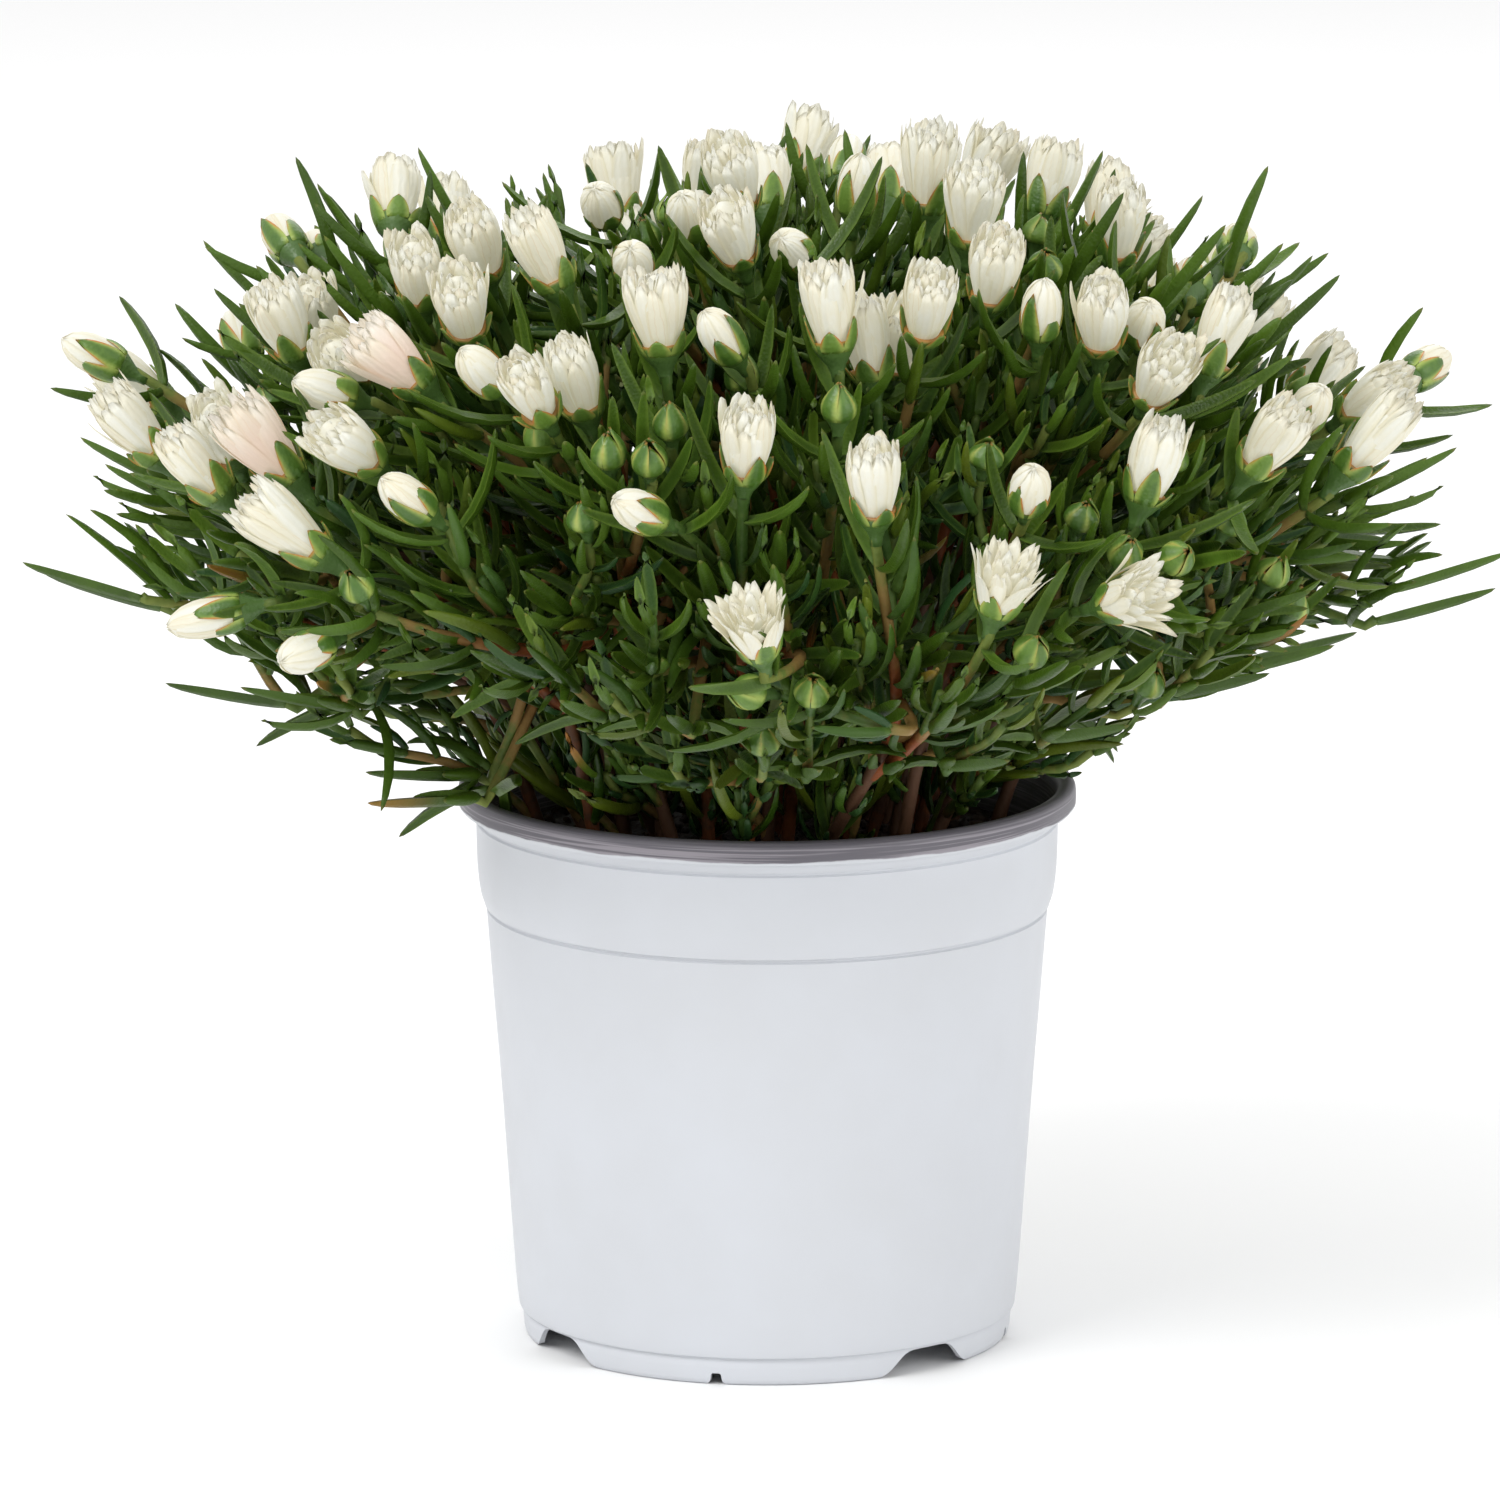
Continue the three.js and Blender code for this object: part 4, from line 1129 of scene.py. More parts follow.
class Bloom:
    """Builds one bloom's cup and petals round its axis."""

    COLUMNS = np.array([-1, -0.5, 0, 0.5, 1])
    ROWS = np.linspace(0, 1, 7)
    # The petals of inner layers come out of the middle body only near their tips
    INNER_ROWS = np.linspace(0.52, 1, 4)
    INNER_SIZE = 0.85
    CORE_SIDES = 12
    CORE_WIDTH = 0.84
    CORE_TOP = 0.2
    # The core is drawn in at its end: how far, and how late
    CORE_CLOSING = (0.98, 3.5)
    STRAY_LEAN = 2.4
    # Above 1, so that more blooms are nearly closed than wide open
    MOSTLY_CLOSED = 1.6
    # How late along a petal its lean and its swing come in
    LEAN_POWER = 2.2
    SWING_POWER = 1.5
    SEPAL_ENDS = np.array([0.84, 0.95, 1.0, 0.95, 0.84])
    FIRST_SEED = 4200

    def __init__(self, tip: Tip, number: int) -> None:
        """Sets the bloom's axis and its own random row.

        Args:
            tip: The tip of the shoot that it grows on.
            number: The bloom's number, which its random row starts from.
        """
        self.tip = tip
        self.random = np.random.default_rng(self.FIRST_SEED + number)
        self.axis = tip.direction
        self.first, self.second = square_to(tip.direction, NEARLY_UP)
        self.scale = tip.length / KIND_SIZES[tip.kind].length

    def radial(self, angle: Array) -> Array:
        """Directions out from the axis at angles round it."""
        return np.cos(angle)[..., None] * self.first + np.sin(angle)[..., None] * self.second

    def points(self, height: Array, radius: Array, angle: Array) -> Array:
        """The points at heights along the axis, radii and angles."""
        height, radius, angle = np.broadcast_arrays(height * self.scale, radius, angle)
        return self.tip.foot + self.axis * height[..., None] + self.radial(angle) * radius[..., None]

    def sheets(
        self, lofts: Lofts, profile: SheetProfile, size: float, angles: Array, lengths: Array, lean: Array,
        ends: Array, swing: Array, lap: float, rows: Array = ROWS, **values: Array | float,
    ) -> None:
        """Adds thin closed bodies that lie round the axis, such as petals.

        Args:
            lofts: The mesh that they go in.
            profile: The line that they follow.
            size: Their radius beside the profile's.
            angles: The angle round the axis at which each stands.
            lengths: How long each is, as a share of the profile.
            lean: How far each leans out at its tip, in millimetres.
            ends: How far each of its five columns reaches, as a share of its length.
            swing: How far each swings round at its tip.
            lap: How far one edge lies over the next petal's, in millimetres.
            rows: The shares of its length at which each is drawn.
            values: Numbers for the material, one for each body or one for all.
        """
        columns = np.append(self.COLUMNS, 0.0)
        reach = np.concatenate([ends, ends[:, 2:3]], 1)
        s = rows[None, :, None] * reach[:, None, :]
        knots = np.linspace(0, 1, len(profile.heights))
        foot = profile.heights[0]
        height = foot + (np.interp(s, knots, profile.heights) - foot) * lengths[:, None, None]
        radius = size * np.interp(s, knots, profile.radii) + lean[:, None, None] * s**self.LEAN_POWER
        wide = np.interp(s, knots, profile.widths)
        angle = angles[:, None, None] + swing[:, None, None] * s**self.SWING_POWER
        angle = angle + columns * wide / np.maximum(radius, profile.least_radius)
        radius = radius - profile.curl * wide * columns**2 + lap * columns * s**0.5
        radius[..., -1] -= np.interp(s[..., -1], knots, profile.thickness)
        points = self.points(height, radius, angle)
        values = {name: np.reshape(value, (-1, 1, 1)) for name, value in values.items()}
        start, end = points[:, 0].mean(1), points[:, -1].mean(1)
        margin = np.abs(columns) > Lofts.ON_MARGIN
        lofts.add(points, start, end, along=s, across=columns, margin=margin, **values)

    def teeth(self, count: int, depth: float) -> Array:
        """The uneven ends of petals: each of five columns reaches a little less or more."""
        ends = 1 - depth * self.random.random((count, 5))
        ends[:, [0, 4]] -= depth
        return ends

    def petals(self, lofts: Lofts) -> None:
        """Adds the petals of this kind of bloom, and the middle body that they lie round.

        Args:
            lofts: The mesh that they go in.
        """
        plan = PETAL_PLANS.get(self.tip.kind)
        if plan is None:
            return
        random = self.random
        pink = float(self.tip.pink)
        low, high = plan.opening
        opening = low + (high - low) * random.random() ** self.MOSTLY_CLOSED
        slim = random.uniform(plan.slimmest, 1.0)
        for count, size, longer in plan.layers:
            angles = (np.arange(count) + size * 3 + plan.uneven * random.random(count)) * 2 * math.pi / count
            lean = size * (opening + random.normal(*plan.lean, count)) - plan.closing * (1 - size)
            lean += self.STRAY_LEAN * size * (random.random(count) < plan.stray)
            self.sheets(
                lofts, plan.profile, size=size * slim, angles=angles,
                lengths=longer - plan.shorter * random.random(count), lean=lean,
                ends=self.teeth(count, plan.notch), swing=random.normal(*plan.swing, count), lap=plan.lap,
                rows=self.ROWS if size > self.INNER_SIZE else self.INNER_ROWS, tone=random.random(count),
                pink=pink,
            )
        s = np.linspace(0, 1, 8)
        knots = np.linspace(0, 1, len(plan.profile.heights))
        height = np.interp(s * plan.core, knots, plan.profile.heights)
        drawn_in, late = self.CORE_CLOSING
        close = np.sqrt(1 - drawn_in * s**late)
        radius = self.CORE_WIDTH * slim * np.interp(s * plan.core, knots, plan.profile.radii) * close
        top = height[-1] + self.CORE_TOP
        self.turned(lofts, height, radius[:, None], even_turns(self.CORE_SIDES), top, tone=0.4, pink=pink)

    def turned(
        self, lofts: Lofts, height: Array, radius: Array, angle: Array, top: float, **values: float
    ) -> None:
        """Adds one turned body on the axis.

        Args:
            lofts: The mesh that it goes in.
            height: The heights of its rows.
            radius: Their radii, by row and, where they differ, by corner.
            angle: The angles of the corners.
            top: The height at which the last row is closed.
            values: Numbers for the material.
        """
        rings = self.points(height[:, None], radius, angle)
        start, end = (self.tip.foot + self.axis * at * self.scale for at in (height[0], top))
        along = (height - height[0]) / (height[-1] - height[0])
        lofts.add(rings[None], start[None], end[None], along=along[:, None], across=0.0, margin=0.0, **values)

    def cup(self, lofts: Lofts) -> None:
        """Adds the green cup: a fleshy funnel with five uneven sepals.

        Args:
            lofts: The mesh that it goes in.
        """
        random = self.random
        sizes = CUPS[self.tip.kind]
        own = {"tone": random.random(), "green": float(self.tip.kind is Kind.GREEN)}
        angle = even_turns(sizes.sides)
        height = np.array(sizes.heights)
        rise = np.linspace(0, 1, len(height))[:, None]
        radius = sizes.size * np.array(sizes.radii)[:, None] * (1 + sizes.lobes * rise * np.cos(5 * angle))
        self.turned(lofts, height, radius, angle, height[-1] - sizes.hollow, funnel=1.0, **own)
        count = len(sizes.lengths)
        self.sheets(
            lofts, sizes.sepals, size=1.0, angles=even_turns(count) + random.normal(0, 0.06, count),
            lengths=random.permutation(sizes.lengths) + random.normal(0, 0.04, count),
            lean=random.normal(0.05, 0.12, count), ends=np.tile(self.SEPAL_ENDS, (count, 1)),
            swing=np.zeros(count), lap=0.0, funnel=0.0, **own,
        )


class Room:
    """A grid of small cells that keeps track of where blooms, stems and leaves already are."""

    def __init__(self, low: Array, high: Array, cell: float = 1.5) -> None:
        """Starts an empty grid.

        Args:
            low: Its lowest corner.
            high: Its highest corner.
            cell: How wide its cells are.
        """
        self.low = low
        self.cell = cell
        self.taken = np.zeros(np.ceil((high - low) / cell).astype(int), bool)

    def cells(self, points: Array) -> tuple[Array, ...]:
        """The cells that points lie in, without those outside the grid."""
        at = np.floor((points - self.low) / self.cell).astype(int)
        inside = np.all((at >= 0) & (at < self.taken.shape), axis=-1)
        return tuple(at[inside].T)

    def take(self, points: Array, radius: float) -> None:
        """Marks the cells round points as taken.

        Args:
            points: The points, as rows.
            radius: How far round each.
        """
        count = int(radius / self.cell) + 1
        steps = np.arange(-count, count + 1) * self.cell
        ball = np.stack(np.meshgrid(steps, steps, steps), -1).reshape(-1, 3)
        ball = ball[np.linalg.norm(ball, axis=1) <= radius]
        self.taken[self.cells((points[:, None] + ball[None]).reshape(-1, 3))] = True

    def share_taken(self, points: Array) -> float:
        """The share of points that lie in taken cells."""
        found = self.taken[self.cells(points)]
        return float(found.mean()) if len(found) else 0.0


@dataclass
class Shoot:
    """A stem as it is drawn: points close together, radii, and how old it is at each."""

    points: Array
    radii: Array
    age: Array


@dataclass(frozen=True)
class FoliageRule:
    """Values of the rule that fills the plant out with further leaves and shoots."""

    # The underside: how high it is at the rim and away from it
    skirt_slope: float = 0.62
    skirt_spare: float = 2
    skirt_play: float = 6
    low_tip_limit: float = 9
    low_tip_reach: float = 30
    hang: float = 5
    # What holds below a height: leaves are slimmer, shorter or now and then long, and shoots fewer
    low_band: float = 150
    low_share: float = 0.4
    low_slim: float = 0.92
    low_short: float = 0.8
    low_rise: float = 0.35
    # Leaves below the band are drawn less young in colour: partly their greater age, partly painted shade
    # toward the bottom
    low_age_and_shade: float = 0.4
    low_small_share: float = 0.75
    long_share: float = 0.16
    long_factor: float = 1.4
    # The drawn stems
    main_radii: tuple[float, float] = (1.5, 1.1)
    fork_radii: tuple[float, float] = (1.25, 1.05)
    side_radii: tuple[float, float] = (1.05, 0.9)
    soften_rounds: int = 24
    fixed_points: tuple[int, int] = (4, 1)
    under_ground: float = 6
    # The room that each piece takes and leaves free
    stem_room: float = 1.6
    side_room: float = 1.4
    leading_room: float = 2.4
    bloom_spare: float = 0.9
    leaf_room: float = 1.9
    box_spare: float = 0.5
    pot_gap: float = 0.3
    soil_clear: float = 2.5
    near_joint: float = 5
    bloom_gap: float = 9
    dome_limit: float = 1.16
    # Joints down a stem
    first_joint: float = 12
    joint_gap: float = 7.5
    gap_growth: float = 0.7
    old_from: float = 55
    old_stem: float = 75
    turn_play: float = 0.12
    # The leaves of a pair, young and old
    young_spread: float = 0.56
    old_spread: float = 0.92
    young_lengths: tuple[float, float] = (17, 24)
    old_lengths: tuple[float, float] = (19, 28)
    leaf_spans: tuple[float, float] = (6, 26)
    leaf_radii: tuple[float, float] = (0.8, 1.5)
    layout_radius: float = 1.5
    layout_youth: float = 0.45
    youngest: float = 0.75
    youth_play: float = 0.15
    spread_play: tuple[float, float] = (0.75, 1.15)
    radius_play: tuple[float, float] = (0.9, 1.1)
    hue_play: float = 0.4
    blush_share: float = 0.016
    blush_top: float = 185
    blushes: tuple[float, float] = (0.3, 0.9)
    # How a leaf is turned where it has no room, and how much may overlap
    turn_tries: int = 6
    turn_step: float = 0.32
    turn_closing: float = 0.07
    turn_shorter: float = 0.03
    inner_share: float = 0.84
    inner_overlap: float = 0.25
    outer_overlap: float = 0.12
    # Small leaves: how often, and where they stand in half turns from the first of the pair, with
    # how far they lean
    small_share: float = 0.22
    small_lengths: tuple[float, float] = (6.5, 11.5)
    small_youth: tuple[float, float] = (0, 0.7)
    small_places: tuple[Place, ...] = ((0.5, 0.75), (1.5, 0.75), (0.15, 0.4), (1.1, 0.4))
    # A leading leaf's neighbours: half turn, share of its length, lean
    leading_places: tuple[tuple[float, float, float], ...] = (
        (1, 0.82, 0.3), (0.5, 0.5, 0.4), (1.5, 0.45, 0.42),
    )
    leading_out: float = 0.9
    leading_lean: float = 0.2
    leading_youth: float = 0.8
    # Side shoots, which end on shells inside the dome: each shell's share of its size, and how many
    shells: tuple[tuple[float, int], ...] = ((0.9, 225), (0.76, 135), (0.58, 30))
    shell_play: tuple[float, float] = (0.95, 1.05)
    shell_turn: float = 10
    lowest: float = 111
    shoot_origin: float = 45
    shoot_reach: tuple[float, float] = (22, 75)
    shoot_heading: float = 0.6
    shoot_choice: float = 1.6
    shoot_hold: float = 0.4
    shoot_pairs: int = 4
    shoot_gap: float = 6.5
    shoot_ageing: float = 0.2
    last_joint: float = 6
    tip_lengths: tuple[float, float] = (14, 19)
    tip_spreads: tuple[float, float] = (0.3, 0.45)
    tip_youth: float = 0.85
    # Small green buds at the ends of side shoots
    bud_share: float = 0.34
    bud_zone: tuple[float, float] = (138, 232)
    bud_shell: float = 0.83
    bud_lengths: tuple[float, float] = (7.5, 9.5)
    bud_neck: float = 3
    bud_rise: float = 0.35
    bud_room: float = 3
    bud_overlap: float = 0.25
    bud_spreads: tuple[float, float] = (0.55, 0.75)


class Foliage:
    """Adds to the layout's stems and leaves until the plant is as full as in the photograph."""

    LEAF_SEED = 77
    BUD_SEED = 91
    ROOM_SPARE = 6

    def __init__(self, layout: PlantLayout, rule: FoliageRule) -> None:
        """Fills the plant out and keeps its leaves and shoots for each spray.

        Args:
            layout: The plant's layout.
            rule: The rule's values.
        """
        self.layout = layout
        self.rule = rule
        self.random = np.random.default_rng(self.LEAF_SEED)
        self.leaves: dict[int, list[Leaf]] = {spray.number: [] for spray in layout.sprays}
        self.shoots: dict[int, list[Shoot]] = {spray.number: [] for spray in layout.sprays}
        self.buds: dict[int, list[Tip]] = {spray.number: [] for spray in layout.sprays}
        self.bud_random = np.random.default_rng(self.BUD_SEED)
        low, high = (np.array(corner) / MILLIMETRE for corner in CAD_BOX)
        self.low, self.high = low, high
        self.room = Room(low - self.ROOM_SPARE, high + self.ROOM_SPARE)
        tips = [stem.tip for spray in layout.sprays for stem in spray.stems if stem.tip.kind is Kind.LEAFY]
        self.low_tips = [tip.end for tip in tips if tip.end[2] < layout.pot.height + rule.low_tip_limit]
        self.take_layout()
        self.fill_stems()
        self.fill_shells()

    def add_shoot(self, number: int, points: Array, radii: tuple[float, float]) -> None:
        """Keeps a shoot, given by its points and its radii at both ends, for a spray."""
        self.shoots[number].append(Shoot(points, np.linspace(*radii, len(points)), self.age(points)))

    def take_layout(self) -> None:
        """Takes the blooms, stems and leaves of the layout over, and marks their room."""
        rule = self.rule
        for spray in self.layout.sprays:
            for k, stem in enumerate(spray.stems):
                self.mark_tip(stem.tip)
                below = [] if k else [spray.root - UP * rule.under_ground, spray.root]
                points = self.soften(self.smooth([*below, *stem.line]), rule.fixed_points[min(k, 1)])
                self.add_shoot(spray.number, points, rule.fork_radii if k else rule.main_radii)
                self.room.take(points, rule.stem_room)
                for at, pair in stem.pairs.items():
                    away = points - stem.line[at]
                    shift = away[np.argmin(np.linalg.norm(away, axis=1))]
                    for leaf in pair:
                        leaf.root = leaf.root + shift
                        leaf.knee = leaf.knee + 0.5 * shift
                        self.lift(leaf)
                        leaf.youth = rule.layout_youth
                        leaf.radius = rule.layout_radius
                        self.keep(spray.number, leaf)

    def soften(self, points: Array, fixed: int) -> Array:
        """Rounds the elbows of a stem.

        Args:
            points: The stem's points.
            fixed: How many of the first points stay, as do the two under its tip.

        Returns:
            The moved points.
        """
        points = points.copy()
        for _ in range(self.rule.soften_rounds):
            between = 0.5 * (points[fixed - 1 : -3] + points[fixed + 1 : -1])
            points[fixed:-2] += 0.5 * (between - points[fixed:-2])
        return points

    def skirt_height(self, point: Array) -> float:
        """How high the plant's underside is at a place, as it widens above the rim.

        Args:
            point: The place.

        Returns:
            The height.
        """
        rule, pot = self.rule, self.layout.pot
        out = math.hypot(point[0], point[1])
        if out < pot.collar_top_radius - rule.skirt_spare:
            return pot.soil_edge
        if any(np.linalg.norm(point - low) < rule.low_tip_reach for low in self.low_tips):
            return pot.height - rule.skirt_play
        return pot.height + rule.skirt_spare + rule.skirt_slope * max(0.0, out - pot.rim_radius)

    def lift(self, leaf: Leaf) -> None:
        """Raises a leaf that would hang down in front of the pot or under the plant.

        Args:
            leaf: The leaf.
        """
        lowest = self.skirt_height(leaf.tip) + self.random.uniform(0, self.rule.skirt_play)
        short = lowest - leaf.tip[2]
        if short > 0:
            leaf.tip = leaf.tip + UP * short
            leaf.knee = leaf.knee + UP * (0.5 * short)

    def mark_tip(self, tip: Tip) -> None:
        """Marks the room of a bloom or a leading leaf.

        Args:
            tip: The bloom or leafy tip.
        """
        rule = self.rule
        steps = np.linspace(0, tip.length, 16)[:, None]
        leafy = tip.kind is Kind.LEAFY
        radius = rule.leading_room if leafy else KIND_SIZES[tip.kind].radius + rule.bloom_spare
        self.room.take(tip.foot + tip.direction * steps, radius)

    def smooth(self, line: list[Array], step: float = 3.0) -> Array:
        """A smooth curve through points.

        Args:
            line: The points.
            step: About how far apart the curve's own points are.

        Returns:
            The points on the curve, as rows.
        """
        knots = [2 * line[0] - line[1], *line, 2 * line[-1] - line[-2]]
        rows = []
        for before, start, end, after in zip(knots, knots[1:], knots[2:], knots[3:]):
            count = max(2, round(float(np.linalg.norm(end - start)) / step))
            t = (np.arange(count) / count)[:, None]
            bend = 2 * before - 5 * start + 4 * end - after
            twist = 3 * start - before - 3 * end + after
            rows.append(0.5 * (2 * start + (end - before) * t + bend * t**2 + twist * t**3))
        return np.vstack([*rows, line[-1]])

    def age(self, points: Array) -> Array:
        """How old a stem is at its points: 0 at its tip, up to 1 further down."""
        back = np.append(np.cumsum(steps_between(points)[::-1])[::-1], 0)
        return np.clip(back / self.rule.old_stem, 0, 1)

    def leaf_points(self, leaf: Leaf) -> Array:
        """Points along a leaf past its root."""
        t = np.linspace(0.28, 1, 9)[:, None]
        bend = 2 * leaf.knee - 0.5 * (leaf.root + leaf.tip)
        return (1 - t) ** 2 * leaf.root + 2 * t * (1 - t) * bend + t**2 * leaf.tip

    def keep(self, number: int, leaf: Leaf) -> None:
        """Keeps a leaf for a spray and marks its room.

        Args:
            number: The spray's number.
            leaf: The leaf.
        """
        if self.random.random() < self.rule.blush_share and leaf.tip[2] < self.rule.blush_top:
            leaf.blush = float(self.random.uniform(*self.rule.blushes))
        self.leaves[number].append(leaf)
        self.room.take(self.leaf_points(leaf), self.rule.leaf_room)

    def allowed(self, points: Array) -> bool:
        """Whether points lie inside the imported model's box, and clear of the rim and soil.

        Args:
            points: The points, of which the last is a leaf's or bud's tip.

        Returns:
            Whether they do.
        """
        rule = self.rule
        inside = np.all((points > self.low + rule.box_spare) & (points < self.high - rule.box_spare))
        within = self.layout.dome.share(points[-1:])[0] < rule.dome_limit
        if not (inside and within and points[-1, 2] > self.skirt_height(points[-1])):
            return False
        row = np.column_stack([points, np.full(len(points), rule.layout_radius)])
        return self.layout.gap_to_pot(row, rule.pot_gap) >= rule.pot_gap

    def grow_leaf(
        self, number: int, joint: Array, direction: Array, turn: float, length: float, spread: float,
        youth: float, hue: float | None = None,
    ) -> bool:
        """Grows a leaf where there is room for it near the wanted place.

        Args:
            number: The spray's number.
            joint: The point of the stem that it grows from.
            direction: The stem's direction there.
            turn: The angle round the stem that it should stand at.
            length: How long it should be.
            spread: How far it should lean out from the stem.
            youth: How young it is, from 0 to 1.
            hue: How blue green (-1) or olive (1) it is, or None for a random one.

        Returns:
            Whether it was kept.
        """
        rule = self.rule
        first, second = square_to(direction, NEARLY_UP)
        low_down = joint[2] < rule.low_band
        best, least, least_cost = None, 1.0, math.inf
        for tried in range(rule.turn_tries):
            angle = turn + (tried + 1) // 2 * (rule.turn_step if tried % 2 else -rule.turn_step)
            outward = round_axis(first, second, angle)
            lean, shorter = spread * (1 - rule.turn_closing * tried), 1 - rule.turn_shorter * tried
            leaf = self.layout.place_leaf(joint, direction, outward, length * shorter, lean)
            points = self.leaf_points(leaf)
            hanging = leaf.tip[2] < min(leaf.root[2] - rule.hang, rule.low_band)
            if hanging or not self.allowed(points):
                continue
            taken = self.room.share_taken(points)
            cost = taken - (rule.low_rise * (leaf.tip[2] - leaf.root[2]) / length if low_down else 0)
            if cost < least_cost:
                best, least, least_cost = leaf, taken, cost
            if taken == 0 and not low_down:
                break
        if best is None:
            return False
        inner = self.layout.dome.share(best.tip[None])[0] < rule.inner_share
        if least > (rule.inner_overlap if inner else rule.outer_overlap):
            return False
        best.youth = youth
        best.hue = float(self.random.normal(0, rule.hue_play)) if hue is None else hue
        slim = rule.low_slim if low_down else 1.0
        radius = slim * float(np.interp(length, rule.leaf_spans, rule.leaf_radii))
        best.radius = radius * float(self.random.uniform(*rule.radius_play))
        self.keep(number, best)
        return True

    def grow_joint(self, number: int, points: Array, at: float, turn: float, old: float) -> None:
        """Grows a pair of leaves, and now and then a small pair in their axils.

        Args:
            number: The spray's number.
            points: The stem's points.
            at: How far along the stem the joint is, in millimetres.
            turn: The angle round the stem of the first leaf.
            old: How old the joint is, from 0 to 1.
        """
        rule = self.rule
        lengths = np.append(0, np.cumsum(steps_between(points)))
        place = int(np.clip(np.searchsorted(lengths, at), 1, len(points) - 1))
        share = (at - lengths[place - 1]) / (lengths[place] - lengths[place - 1])
        joint = points[place - 1] + share * (points[place] - points[place - 1])
        direction = unit(points[place] - points[place - 1])
        spread = rule.young_spread + (rule.old_spread - rule.young_spread) * old
        lengths = np.array(rule.young_lengths) * (1 - old) + np.array(rule.old_lengths) * old
        low, high = lengths.tolist()
        low_down = joint[2] < rule.low_band
        long = low_down and self.random.random() < rule.long_share
        for side in (0, math.pi):
            length = self.random.uniform(low, high)
            if low_down:
                length *= rule.long_factor if long else rule.low_short
            lean = spread * self.random.uniform(*rule.spread_play)
            # Below the band the youth drops: partly older leaves, partly painted shade that darkens the low
            # foliage
            youth = rule.youngest - old + self.random.normal(0, rule.youth_play) - rule.low_age_and_shade * low_down
            youth = float(np.clip(youth, 0, 1))
            hue = 1.0 if long else None
            self.grow_leaf(number, joint, direction, turn + side, length, lean, youth, hue)
        rim = self.layout.pot.rim_radius
        over_pot = low_down and math.hypot(joint[0], joint[1]) < rim + rule.skirt_play
        if self.random.random() < (rule.low_small_share if over_pot else rule.small_share):
            youth = float(self.random.uniform(*rule.small_youth))
            for side, spread in rule.small_places[: 4 if over_pot else 2]:
                length = self.random.uniform(*rule.small_lengths)
                self.grow_leaf(number, joint, direction, turn + side * math.pi, length, spread, youth, -1.0)

    def fill_stems(self) -> None:
        """Grows pairs of leaves down the layout's stems, and tight ones round leafy tips."""
        rule = self.rule
        for spray in self.layout.sprays:
            for stem, shoot in zip(spray.stems, self.shoots[spray.number]):
                if stem.tip.kind is Kind.LEAFY:
                    self.lead(spray.number, stem.tip)
                points = shoot.points
                total = float(steps_between(points).sum())
                kept = [stem.line[at] for at in stem.pairs]
                back, gap, turn = rule.first_joint, rule.joint_gap, stem.turn
                while back < total - rule.soil_clear:
                    turn += math.pi / 2 + self.random.normal(0, rule.turn_play)
                    point = points[int((1 - back / total) * (len(points) - 1))]
                    free = all(np.linalg.norm(point - other) > rule.near_joint for other in kept)
                    if free and point[2] > self.layout.pot.soil_top(0) + rule.soil_clear:
                        old = min(1, back / rule.old_from)
                        self.grow_joint(spray.number, points, total - back, turn, old)
                    back += gap
                    gap += rule.gap_growth

    def lead(self, number: int, tip: Tip) -> None:
        """The leading leaf of a leafy shoot, with a second one and two small ones.

        Args:
            number: The spray's number.
            tip: The leafy shoot's tip.
        """
        first, second = square_to(tip.direction, NEARLY_UP)
        knee = tip.foot + tip.direction * (self.layout.rule.leaf_knee * tip.length)
        self.keep(number, Leaf(tip.foot, knee, tip.end, first, KIND_SIZES[tip.kind].radius, youth=0.5))
        for side, share, lean in self.rule.leading_places:
            outward = round_axis(first, second, side * math.pi) * self.rule.leading_out
            lean += self.rule.leading_lean
            leaf = self.layout.place_leaf(tip.foot, tip.direction, outward, share * tip.length, lean)
            leaf.youth = self.rule.leading_youth
            leaf.radius = self.rule.layout_radius
            if self.allowed(self.leaf_points(leaf)):
                self.keep(number, leaf)

    def fill_shells(self) -> None:
        """Adds short leafy side shoots that end on shells inside the dome."""
        rule = self.rule
        dome, rim = self.layout.dome, self.layout.pot.rim_radius
        middle = np.array([0, 0, dome.height])
        starts, owners = [], []
        for spray in self.layout.sprays:
            for shoot in self.shoots[spray.number]:
                starts.append(shoot.points)
                owners.append(np.full(len(shoot.points), spray.number))
        starts, owners = np.vstack(starts), np.concatenate(owners)
        tips = np.array([stem.tip.foot for spray in self.layout.sprays for stem in spray.stems])
        for share, count in rule.shells:
            for k in range(count):
                rise = 1 - 2 * (k + 0.5) / count
                turn = GOLDEN_ANGLE * k + share * rule.shell_turn
                level = math.sqrt(1 - rise**2)
                tall = dome.up if rise > 0 else dome.down
                across, deep = dome.x * level * math.cos(turn), dome.y * level * math.sin(turn)
                way = np.array([across, deep, tall * rise])
                foot = middle + way * share * self.random.uniform(*rule.shell_play)
                hangs_over = foot[2] < rule.low_band and math.hypot(foot[0], foot[1]) > rim
                sparse = hangs_over and self.random.random() > rule.low_share
                near = np.linalg.norm(tips - foot, axis=1).min() < rule.bloom_gap
                if foot[2] < max(rule.lowest, self.skirt_height(foot)) or sparse or near:
                    continue
                self.side_shoot(foot, starts, owners)

    def green_bud(self, foot: Array, direction: Array) -> Tip | None:
        """A small green bud for the end of a side shoot.

        Args:
            foot: Where the shoot's tip leaves grow from.
            direction: The shoot's direction there.

        Returns:
            The bud, or None where none is wanted or none has room.
        """
        rule = self.rule
        wanted = self.bud_random.random() < rule.bud_share
        way = unit(direction + UP * rule.bud_rise)
        tip = Tip(Kind.GREEN, foot + way * rule.bud_neck, way, self.bud_random.uniform(*rule.bud_lengths))
        points = tip.foot + way * np.linspace(0, tip.length, 8)[:, None]
        outside = self.layout.dome.share(foot[None])[0] > rule.bud_shell
        in_zone = rule.bud_zone[0] < foot[2] < rule.bud_zone[1]
        free = self.room.share_taken(points) <= rule.bud_overlap and self.allowed(points)
        return tip if wanted and outside and in_zone and free else None

